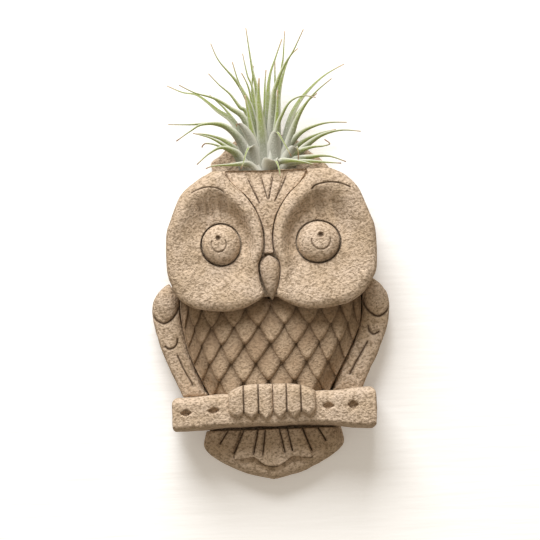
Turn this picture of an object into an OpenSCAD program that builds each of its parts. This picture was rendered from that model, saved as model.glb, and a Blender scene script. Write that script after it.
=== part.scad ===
// Wall-hung owl planter in sandy unglazed clay, with an air plant in the pocket of its head.
// The wall is the plane y = 0, the owl looks along -Y and +Z is up.
// The origin is the centre of the hanging hole, on the back face of the back slab.
// Left and right are as seen from the front. All sizes are in millimetres.

/* [Hanging] */
// Diameter of the hanging hole
hang_d = 6; // [4:0.5:8]
// Height of the back slab above the hole centre
arch_rise = 9; // [7:0.5:14]
// Drop from the hole centre to the rim of the pocket
rim_drop = 9; // [6:0.5:14]
// Thickness of the back slab
slab_t = 6; // [4:0.5:10]
// How far the back slab stays inside the edges of the pieces in front of it
slab_inset = 1.5; // [0.5:0.5:3]

/* [Head] */
// Width of the head over both face discs
head_w = 105.5; // [90:0.5:125]
// Height of the head from the rim to the lowest edge of the discs
head_h = 70; // [60:1:85]
// Width of the head along its flat rim
rim_w = 63; // [54:1:72]
// Thickness of the clay walls round the pocket
wall_t = 4; // [3:0.5:6]
// Inside of the pocket, from the back slab to the front wall
pocket_gap = 20; // [16:0.5:30]
// Depth of the pocket below the rim
pocket_h = 43; // [34:1:50]
// Radius of the pocket's lower corners
pocket_r = 14; // [8:1:20]

/* [Face] */
// Height of the face discs above the head at their brow edge
disc_t = 8; // [6:0.5:12]
// Height of the discs at their lower edge
disc_low_t = 6; // [5:0.5:10]
// Thickness of the discs at the bottom of the dish
dish_floor = 2; // [1.5:0.5:4]
// Radius of the rounded edge of the discs
disc_edge_r = 3; // [1:0.5:4]
// Distance between the centres of the eyes
eye_pitch = 49; // [44:0.5:54]
// Drop from the rim to the centres of the eyes
eye_drop = 36.7; // [32:0.1:42]
// Diameter of the eyes
eye_d = 20.4; // [16:0.2:23]
// Height of the domed eyes
eye_h = 5.5; // [4:0.5:8]
// Width of the ring groove round each eye
eye_ring = 0.8; // [0.5:0.1:1.5]
// Depth of the ring groove
eye_ring_depth = 1; // [0.5:0.1:1.5]
// Diameter of the pupil dots
pupil_d = 2.4; // [1.5:0.1:4]
// Depth of the pupil dots below the top of the eyes
pupil_depth = 2; // [1:0.1:3]
// Width of the forehead panel along the rim
brow_w = 42; // [36:1:48]
// Thickness of the forehead panel
brow_t = 4; // [3:0.5:6]
// Width of the four fan grooves on the forehead
fan_groove_w = 0.8; // [0.5:0.1:1.5]
// Width of the beak
beak_w = 10; // [7:0.5:13]
// Height of the beak from root to tip
beak_h = 23.5; // [20:0.5:28]
// Height of the beak's ridge above the head
beak_t = 9; // [6:0.5:12]

/* [Breast] */
// Width of the breast under the head
breast_w = 91; // [80:1:96]
// Height of the breast between the discs' lowest edge and the perch
body_h = 41.5; // [34:0.5:55]
// Height of the breast above the back slab at its middle
breast_t = 20; // [14:0.5:22]
// Height of the breast above the back slab at its sides
breast_side_t = 3; // [2:0.5:6]
// Number of feather columns round the breast
feather_cols = 11; // [9:2:15]
// Drop of the first row's tips below the discs' lowest edge
feather_drop = 7.8; // [5:0.1:10]
// How far the tips of the last row would hang below the top of the perch
feather_hang = 3.5; // [0:0.5:6]
// Thickness of a feather at its tip
feather_t = 2.2; // [1.2:0.1:3]
// Thickness of a feather at its root
feather_root_t = 0.6; // [0.4:0.1:1]
// How far the lower edges of a feather bow out
feather_bow = 0.6; // [0:0.1:1.5]

/* [Wings] */
// Width of the owl over both wings
wings_w = 118.5; // [112:0.5:130]
// Thickness of the wings
wing_t = 8; // [5:0.5:12]
// Radius of the rounded edge of the wings
wing_edge_r = 3; // [1:0.5:4]
// Radius of the bulging shoulder of each wing
shoulder_r = 8; // [6:0.5:9]
// Height of the shoulder above the wing
shoulder_h = 2; // [1:0.5:3]

/* [Perch] */
// Length of the perch
perch_w = 102; // [92:1:120]
// Height of the perch at its back
perch_h = 18; // [15:0.5:24]
// Depth of the perch in front of the back slab
perch_t = 24; // [22.5:0.5:30]
// Radius of the perch's upper front edge
perch_r = 4; // [2:0.5:6]
// Height of the bevel under the perch
perch_bevel = 2.2; // [1:0.2:5]
// Radius of the corners at the perch's ends
perch_end_r = 3; // [1:0.5:6]
// Width of the lozenge holes
lozenge_w = 7.2; // [3:0.2:8]
// Height of the lozenge holes
lozenge_h = 4.2; // [2:0.2:5]
// Depth of the lozenge holes
lozenge_depth = 3; // [2:0.5:12]

/* [Feet] */
// Number of toes on each foot
toes = 3; // [2:1:4]
// Distance from one toe to the next
toe_pitch = 7.3; // [6:0.1:8.5]
// Length of a toe from tip to knuckle
toe_l = 18; // [14:0.5:20]
// How far the knuckles rise above the perch
toe_rise = 4; // [2:0.5:6]
// How far the toes stand out from the perch
toe_t = 4; // [2.5:0.5:6]
// How much lower the outermost toes start than the inner ones
toe_arch = 2.5; // [0:0.5:4]

/* [Tail] */
// Width of the tail
tail_w = 69; // [60:0.5:80]
// Length of the tail below the perch
tail_h = 25.5; // [20:0.5:36]
// Thickness of the tail in front of the back slab
tail_t = 6; // [4:0.5:9]
// Width of the tail's sloping edge
tail_draft = 4; // [2:0.5:5]
// Thickness of the upper layer of tail feathers
coverts_t = 3; // [2:0.5:4]
// Length of the upper layer at its middle
coverts_h = 19; // [14:0.5:20]
// Width of the upper layer at its lower corners
coverts_w = 39; // [34:0.5:50]
// Width of the carved grooves
groove_w = 1.2; // [0.8:0.1:2]
// Depth of the carved grooves
groove_depth = 1; // [0.5:0.1:1.5]

/* [Air plant] */
// Spread of the leaves from left to right
plant_w = 97; // [80:1:120]
// Height of the tallest leaf above the rim
plant_h = 72; // [60:1:90]
// Width of the plant's base
bulb_w = 24; // [16:1:30]
// Depth of the plant's base below the rim
bulb_h = 18; // [12:1:24]
// Thickness of a leaf
leaf_t = 1.4; // [1:0.1:2.5]
// Play between the plant and the pocket
plant_play = 0.5; // [0.2:0.1:1]

/* [Seams] */
// Width of the open seam between neighbouring pieces
seam = 0.5; // [0.3:0.1:1]

/* [Hidden] */
$fn = 48;
eps = 0.01;
toe_join = 0.2;

// Levels above and below the hanging hole, from top to bottom
z_rim = -rim_drop;
z_chin = z_rim - head_h;
z_perch = z_chin - body_h;
z_under = z_perch - perch_h;

// Distances from the wall
head_front = slab_t + pocket_gap + wall_t;
breast_front = slab_t + breast_t;
perch_front = slab_t + perch_t;
pocket_mid = slab_t + pocket_gap / 2;

// Five rows of feathers fill the breast down to the perch
feather_pitch = (body_h - feather_drop + feather_hang) / 4;

// A smooth curve through the points of a list
function curve_point(a, b, c, d, t) =
    0.5 * (2 * b + (c - a) * t + (2 * a - 5 * b + 4 * c - d) * t * t
        + (3 * b - a - 3 * c + d) * t * t * t);
function curve(p, steps = 4) = concat(
    [for (i = [0 : len(p) - 2]) for (k = [0 : steps - 1])
        curve_point(p[max(i - 1, 0)], p[i], p[i + 1], p[min(i + 2, len(p) - 1)], k / steps)],
    [p[len(p) - 1]]);

// Points given as shares of a width and of a height, measured down from a level
function placed(p, half_w, level, h) = [for (q = p) [q.x * half_w, level - q.y * h]];
function flipped(p) = [for (i = [len(p) - 1 : -1 : 0]) [-p[i].x, p[i].y]];
function backwards(p) = [for (i = [len(p) - 1 : -1 : 0]) p[i]];

// A closed counter-clockwise outline moved inwards along its own normals
function inset(p, e) = [for (i = [0 : len(p) - 1])
    let (n = len(p), t = p[(i + 1) % n] - p[(i + n - 1) % n])
        p[i] + e * [-t.y, t.x] / max(norm(t), eps)];
function at_height(p, h) = [for (q = p) [q.x, q.y, h]];
function towards(p, c, s) = [for (q = p) [c.x + (q.x - c.x) * s, c.y + (q.y - c.y) * s]];

// A solid through closed rings that have the same number of points
module loft(rings) {
    n = len(rings[0]);
    m = len(rings);
    sides = [for (j = [0 : m - 2]) for (i = [0 : n - 1])
        let (a = j * n + i, b = j * n + (i + 1) % n) each [[a, a + n, b + n], [a, b + n, b]]];
    polyhedron(
        points = [for (r = rings) each r],
        faces = concat([[for (i = [0 : n - 1]) i]], sides, [[for (i = [n - 1 : -1 : 0]) (m - 1) * n + i]]),
        convexity = 8);
}

// Everything is drawn as seen from the front, with its height above the wall as z, then stood up
module stand_up() {
    rotate([90, 0, 0]) children();
}
module layer(from, to) {
    translate([0, 0, from]) linear_extrude(to - from) children();
}
module both_sides() {
    children();
    mirror([1, 0, 0]) children();
}
module groove(from, to, depth_at, w = groove_w) {
    d = to - from;
    translate([from.x, from.y, depth_at]) rotate(atan2(d.y, d.x))
        translate([0, -w / 2, 0]) cube([norm(d), w, groove_depth + 1]);
}

// Outer edge of the right disc, from the chin round the cheek to the rim
disc_outer = placed(
    [[0.07, 0.913], [0.23, 0.975], [0.42, 1], [0.63, 0.986], [0.81, 0.93],
        [0.94, 0.807], [1, 0.6], [0.95, 0.336], [0.8, 0.1]],
    head_w / 2, z_rim, head_h);
// Inner edge of the right disc, from the rim down beside the forehead and the beak
brow_side = placed(
    [[1, 0], [0.83, 0.086], [0.55, 0.167], [0.38, 0.234], [0.24, 0.307], [0.157, 0.383], [0.105, 0.5]],
    brow_w / 2, z_rim, head_h);
beak_root = z_rim - 0.6 * head_h;
beak_half = [[0, 1], [0.28, 0.92], [0.7, 0.7], [1, 0.4], [0.9, 0.2], [0.58, 0.05], [0, 0]];
beak_side = placed(
    [[0.7, 0.616], [1, 0.7], [0.98, 0.77], [0.6, 0.88]], beak_w / 2 + seam, z_rim, head_h);
disc_outline = concat(
    curve(concat(disc_outer, [[rim_w / 2, z_rim]]), 4),
    curve(concat(brow_side, beak_side), 3));
head_half = curve(concat(disc_outer, [[rim_w / 2, z_rim]]), 4);
function head_outline(e) =
    let (n = len(head_half), q = inset(concat(head_half, flipped(head_half)), e))
    concat([for (i = [0 : n - 2]) [max(q[i].x, 0), min(q[i].y, z_rim)]],
        [[rim_w / 2 - e, z_rim]], [[-rim_w / 2 + e, z_rim]],
        [for (i = [n + 1 : 2 * n - 1]) [min(q[i].x, 0), min(q[i].y, z_rim)]]);

// Right edge of the breast, from under the head down to the perch
breast_side = curve(placed(
    [[1, -0.4], [1, -0.12], [0.985, 0.12], [0.92, 0.4], [0.81, 0.68], [0.665, 1]],
    breast_w / 2, z_chin, body_h), 4);
// Outer edge of the right wing, from the perch up to the head
wing_side = curve(placed(
    [[0.747, 1], [0.828, 0.771], [0.907, 0.53], [0.978, 0.23], [1, 0.02], [0.99, -0.133],
        [0.95, -0.241], [0.9, -0.313], [0.84, -0.36], [0.78, -0.4]],
    wings_w / 2, z_chin, body_h), 3);
// Right edge of the tail, from under the perch down to the middle
tail_side = curve(placed(
    [[0.95, 0], [1, 0.28], [0.935, 0.45], [0.75, 0.63], [0.52, 0.79], [0.3, 0.91], [0, 1]],
    tail_w / 2, z_under, tail_h), 4);
tail_outline = concat(flipped(backwards(tail_side)), [for (i = [len(tail_side) - 2 : -1 : 0]) tail_side[i]]);

module head_area(e = 0) {
    polygon(head_outline(e));
}
module breast_area() {
    difference() {
        polygon(concat(backwards(breast_side), flipped(backwards(breast_side))));
        head_area(-seam);
    }
}

module back_slab() {
    arch = [[1, 0], [0.86, 0.29], [0.7, 0.49], [0.52, 0.8], [0.33, 0.96], [0.12, 1]];
    top = curve(placed(arch, rim_w / 2, z_rim, -arch_rise - rim_drop), 3);
    foot = [rim_w / 2, z_rim - wall_t];
    right = concat([tail_side[0]], wing_side);
    color("peru") stand_up() difference() {
        layer(0, slab_t) {
            polygon(concat([foot], top, flipped(top), [[-foot.x, foot.y]]));
            head_area(slab_inset);
            polygon(inset(concat(right, flipped(right)), slab_inset));
            polygon(concat([[0, z_chin]], tail_outline));
        }
        translate([0, 0, -1]) cylinder(h = slab_t + 2, d = hang_d);
    }
}

module pocket_area() {
    half = rim_w / 2 - wall_t;
    low = z_rim - pocket_h;
    corner = [for (a = [0 : 15 : 90])
        [half - 2 - pocket_r * (1 - cos(a)), low + pocket_r * (1 - sin(a))]];
    polygon(concat([[half, z_rim + 1]], corner, flipped(corner), [[-half, z_rim + 1]]));
}

module head_shell() {
    color("burlywood") stand_up() difference() {
        layer(slab_t, head_front) head_area(slab_inset / 2);
        layer(slab_t - 1, head_front - wall_t) pocket_area();
    }
}

module brow_panel() {
    low = [beak_w * 0.28, beak_root + seam];
    side = [for (p = curve(concat(brow_side, [low]), 3)) [p.x - seam, p.y]];
    fan_top = [brow_w * 0.25, brow_w * 0.09];
    fan_low = [brow_w * 0.1, brow_w * 0.02];
    fan_end = [0.22, 0.2];
    color("wheat") stand_up() difference() {
        layer(head_front, head_front + brow_t) polygon(concat(side, flipped(side)));
        both_sides() for (i = [0, 1])
            groove([fan_top[i], z_rim + 1], [fan_low[i], z_rim - fan_end[i] * head_h],
                head_front + brow_t - groove_depth, fan_groove_w);
    }
}

// The dish falls steeply under the brow and slopes gently out to the cheeks
module face_disc() {
    eye = [eye_pitch / 2, z_rim - eye_drop];
    seat_r = eye_d / 2 + eye_ring;
    floor_z = head_front + dish_floor;
    edge = disc_outline;
    function up(p) = (1 + (p.y - eye.y) / norm(p - eye)) / 2;
    function rim_h(p) = head_front + disc_low_t + (disc_t - disc_low_t) * up(p);
    function dish(p, s) =
        let (q = eye + (p - eye) * seat_r / norm(p - eye), r = q + (p - q) * s,
            start = 0.2 * up(p), end = 0.95 - 0.23 * up(p),
            t = min(max((s - start) / (end - start), 0), 1),
            h = floor_z + eye_ring_depth
                + (rim_h(p) - floor_z - eye_ring_depth) * t * t * (3 - 2 * t))
        [r.x, r.y, h];
    round_r = min(disc_edge_r, disc_low_t - 1);
    function rounded(a) = [for (i = [0 : len(edge) - 1])
        let (q = inset(edge, round_r * (1 - cos(a)))[i]) [q.x, q.y, rim_h(edge[i]) - round_r * (1 - sin(a))]];
    inner = inset(edge, round_r);
    color("tan") stand_up() loft(concat(
        [at_height(edge, head_front)],
        [for (a = [0, 35, 65, 90]) rounded(a)],
        [for (s = [0.85, 0.72, 0.6, 0.48, 0.36, 0.24, 0.1, 0]) [for (p = inner) dish(p, s)]],
        [[for (p = inner) let (q = eye + (p - eye) * seat_r / norm(p - eye)) [q.x, q.y, floor_z]]]));
}
module face_disc_right() {
    face_disc();
}
module face_disc_left() {
    mirror([1, 0, 0]) face_disc();
}

// A shallow dome with a pressed pupil dot
module eye() {
    ball_r = (eye_d * eye_d / 4 + eye_h * eye_h) / (2 * eye_h);
    base = head_front + dish_floor;
    color("tan") stand_up() translate([eye_pitch / 2, z_rim - eye_drop, base]) difference() {
        intersection() {
            translate([0, 0, eye_h - ball_r]) sphere(r = ball_r);
            cylinder(h = eye_h + 1, d = eye_d + 2);
        }
        translate([eye_d * 0.06, eye_d * 0.17, eye_h - pupil_depth])
            cylinder(h = pupil_depth + 1, d = pupil_d);
    }
}
module eye_right() {
    eye();
}
module eye_left() {
    mirror([1, 0, 0]) eye();
}

// A pointed leaf shape with a ridge, its tip hanging past the chin
module beak() {
    right = curve([for (p = beak_half) [p.x * beak_w / 2, beak_root - p.y * beak_h]], 3);
    left = flipped(right);
    ring = concat(right, [for (i = [1 : len(left) - 2]) left[i]]);
    mid = [0, beak_root - beak_h * 0.42];
    h = head_front;
    color("tan") stand_up() loft([
        at_height(ring, h),
        at_height(ring, h + beak_t * 0.45),
        at_height(towards(ring, mid, 0.8), h + beak_t * 0.72),
        at_height(towards(ring, mid, 0.5), h + beak_t * 0.93),
        at_height(towards(ring, mid, 0.2), h + beak_t)]);
}

// The breast is a barrel with one flat facet for every half column of feathers
half_step = 90 / feather_cols;
function barrel_x(j) = breast_w / 2 * sin(j * half_step);
function barrel_h(j) = slab_t + breast_side_t + (breast_t - breast_side_t) * cos(j * half_step);

module breast_panel() {
    tall = head_h + body_h;
    color("sienna") intersection() {
        stand_up() layer(slab_t, breast_front + 1) breast_area();
        translate([0, 0, z_perch - 1]) linear_extrude(tall) polygon(concat(
            [[-breast_w / 2, -slab_t]], [[breast_w / 2, -slab_t]],
            [for (j = [feather_cols : -1 : -feather_cols]) [barrel_x(j), -barrel_h(j)]]));
    }
}

// One lozenge feather, thin at its root and raised at its tip, with its back on two facets
module feather(j, tip) {
    mid = tip + feather_pitch;
    keep = 1 - 2.2 * seam / feather_pitch;
    corners = [[0, -1], [0.5, -0.5], [1, 0], [0.5, 0.5], [0, 1], [-0.5, 0.5], [-1, 0], [-0.5, -0.5]];
    n = len(corners);
    function spot(i, lift) =
        let (u = corners[i].x * keep, v = (corners[i].y) * keep,
            next = u < 0 ? j - 1 : j + 1,
            x = barrel_x(j) + abs(u) * (barrel_x(next) - barrel_x(j)),
            base = barrel_h(j) + abs(u) * (barrel_h(next) - barrel_h(j)),
            z = mid + v * feather_pitch - (i % 2) * feather_bow,
            t = feather_root_t + (feather_t - feather_root_t) * (1 - v) / 2)
        [x, z, base + lift * t];
    points = concat([for (i = [0 : n - 1]) spot(i, 0)], [for (i = [0 : n - 1]) spot(i, 1)],
        [[barrel_x(j), mid, barrel_h(j) + (feather_t + feather_root_t) / 2 + 0.3]]);
    back = [[0, 1, 2, 3, 4], [0, 4, 5, 6, 7]];
    walls = [for (i = [0 : n - 1]) let (k = (i + 1) % n) each [[i, i + n, k + n], [i, k + n, k]]];
    front = [for (i = [0 : n - 1]) [i + n, 2 * n, (i + 1) % n + n]];
    polyhedron(points, concat(back, walls, front), convexity = 4);
}

// Feathers of odd and even rows stand half a column apart
module feather_row(row) {
    tip = z_chin - feather_drop - (row - 1) * feather_pitch;
    edge_at = [for (p = backwards(breast_side)) [p.y, p.x]];
    reach = lookup(tip + feather_pitch, edge_at) - seam;
    first = -feather_cols + (feather_cols + row) % 2;
    color("rosybrown") stand_up() intersection() {
        union() for (j = [first : 2 : feather_cols])
            if (abs(barrel_x(abs(j) - 1)) < reach - 1.5 && abs(j) < feather_cols)
                feather(j, tip);
        layer(slab_t, breast_front + feather_t + 1) intersection() {
            breast_area();
            translate([-breast_w / 2, z_perch + seam]) square([breast_w, head_h + body_h]);
        }
    }
}
module feather_row_1() {
    feather_row(1);
}
module feather_row_2() {
    feather_row(2);
}
module feather_row_3() {
    feather_row(3);
}
module feather_row_4() {
    feather_row(4);
}
module feather_row_5() {
    feather_row(5);
}

// A slab with a rounded edge and a bulging shoulder
module wing() {
    inner = [for (p = breast_side) [p.x + seam, p.y]];
    edge = concat(wing_side, inner);
    shoulder = [wings_w / 2 - shoulder_r * 0.85, z_chin + body_h * 0.1];
    top = slab_t + wing_t;
    color("burlywood") stand_up() resize([0, 0, wing_t + shoulder_h]) difference() {
        union() {
            loft(concat([at_height(edge, slab_t)],
                [for (a = [0, 35, 65, 90])
                    at_height(inset(edge, wing_edge_r * (1 - cos(a))), top - wing_edge_r * (1 - sin(a)))]));
            translate([shoulder.x, shoulder.y, top - 1])
                scale([0.66, 1, (shoulder_h + 1) / shoulder_r]) sphere(r = shoulder_r, $fn = 32);
        }
        layer(slab_t - 1, head_front) head_area(-seam);
        layer(slab_t - 1, head_front) translate([-wings_w, z_perch - perch_h])
            square([2 * wings_w, perch_h + seam]);
    }
}
module wing_right() {
    wing();
}
module wing_left() {
    mirror([1, 0, 0]) wing();
}

// Side view of the perch: flat on the back slab, rounded above, bevelled below
module perch_profile() {
    arc = [for (a = [0 : 15 : 90])
        [perch_front - perch_r * (1 - sin(a)), z_perch - perch_r * (1 - cos(a))]];
    polygon(concat([[slab_t, z_under]], [[perch_front - 1, z_under + perch_bevel]],
        [[perch_front, z_under + perch_bevel + 1]], backwards(arc), [[slab_t, z_perch]]));
}
module perch_bar(w) {
    translate([-w / 2, 0, 0]) rotate([90, 0, 90]) linear_extrude(w) mirror([1, 0]) perch_profile();
}
module perch() {
    lozenges = [-0.865, -0.595, 0.535, 0.775];
    w = perch_w / 2;
    r = perch_end_r;
    end_arc = [for (a = [0 : 15 : 90]) [w - r + r * cos(a), z_perch - r + r * sin(a)]];
    low_arc = [for (a = [-90 : 15 : 0]) [w - r + r * cos(a), z_under + r + r * sin(a)]];
    side = concat(low_arc, end_arc);
    color("wheat") difference() {
        intersection() {
            perch_bar(perch_w);
            stand_up() layer(slab_t, perch_front + 1)
                polygon(concat(side, flipped(side)));
        }
        stand_up() layer(perch_front - lozenge_depth, perch_front + 1) for (s = lozenges)
            translate([s * w, z_perch - perch_h * 0.42])
                polygon([[lozenge_w / 2, 0], [0, lozenge_h / 2], [-lozenge_w / 2, 0], [0, -lozenge_h / 2]]);
    }
}

// A toe curls over the front edge of the perch and lies on its face, with a pointed tip
toe_wide = [[0, 0.1], [0.1, 0.45], [0.2, 0.74], [0.32, 0.94], [0.45, 1], [0.82, 1], [0.93, 0.86], [1, 0.5]];
toe_thick = [[0, 0.25], [0.1, 0.6], [0.25, 0.9], [0.5, 1], [0.85, 1], [0.95, 0.8], [1, 0.5]];
module toe(x, outwards) {
    low = z_perch + toe_rise - toe_l + 0.6 * toe_arch * outwards * outwards;
    high = z_perch + toe_rise - toe_arch * outwards * outwards;
    half = (toe_pitch + toe_join) / 2;
    function section(s) =
        let (w = half * lookup(s, toe_wide), t = (toe_t + 2) * lookup(s, toe_thick),
            back = 1.5 + 1.5 * s * s)
        [for (a = [0 : 30 : 330])
            [x + w * cos(a), low + s * (high - low), perch_front - back + t * sin(a) * (a > 180 ? 0.4 : 1)]];
    loft([for (s = [1, 0.96, 0.88, 0.75, 0.55, 0.4, 0.28, 0.16, 0.06, 0]) section(s)]);
}
module foot(side) {
    color("wheat") difference() {
        stand_up() for (i = [0 : toes - 1])
            toe(side * ((i + 0.5) * toe_pitch + (seam + toe_join) / 2) - 1, (i + 0.5) / toes);
        perch_bar(perch_w * 2);
        stand_up() layer(0, breast_front + feather_t + seam)
            translate([-perch_w, z_perch]) square([2 * perch_w, body_h]);
    }
}
module foot_left() {
    foot(-1);
}
module foot_right() {
    foot(1);
}

// Grooves that part the tail feathers, from under the perch towards the tip
groove_top = [0.64, 0.42, 0.2, 0.1];
groove_low = [0.78, 0.575, 0.285, 0.165];
groove_end = [0.28, 0.49, 0.48, 0.52];
module tail_grooves(depth_at) {
    both_sides() for (i = [0 : 3])
        groove([groove_top[i] * tail_w / 2, z_under + 1],
            [groove_low[i] * tail_w / 2, z_under - groove_end[i] * tail_h], depth_at);
}
module tail_fan() {
    edge = [for (p = tail_outline) [p.x, min(p.y, z_under - seam)]];
    mid = [0, z_under];
    top = slab_t + tail_t;
    keep = 1 - 2 * tail_draft / tail_w;
    color("saddlebrown") stand_up() difference() {
        loft([at_height(edge, slab_t), at_height(edge, slab_t + 1),
            at_height(towards(edge, mid, (1 + keep) / 2), top - 1), at_height(towards(edge, mid, keep), top)]);
        tail_grooves(top - groove_depth);
    }
}

// The upper layer ends in three lobes, the middle one long and pointed
module tail_coverts() {
    half = coverts_w / 2;
    low = z_under - coverts_h;
    notch = [half * 0.49, z_under - coverts_h * 0.74];
    corner = [half, z_under - coverts_h * 0.79];
    right = curve([[0, low], [half * 0.2, low + coverts_h * 0.04], notch], 3);
    side = concat(right, [corner], [[groove_top[1] * tail_w / 2, z_under - seam]]);
    color("saddlebrown") stand_up() difference() {
        layer(slab_t + tail_t, slab_t + tail_t + coverts_t)
            polygon(concat(side, [for (i = [len(side) - 1 : -1 : 1]) [-side[i].x, side[i].y]]));
        tail_grooves(slab_t + tail_t + coverts_t - groove_depth);
    }
}

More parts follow.
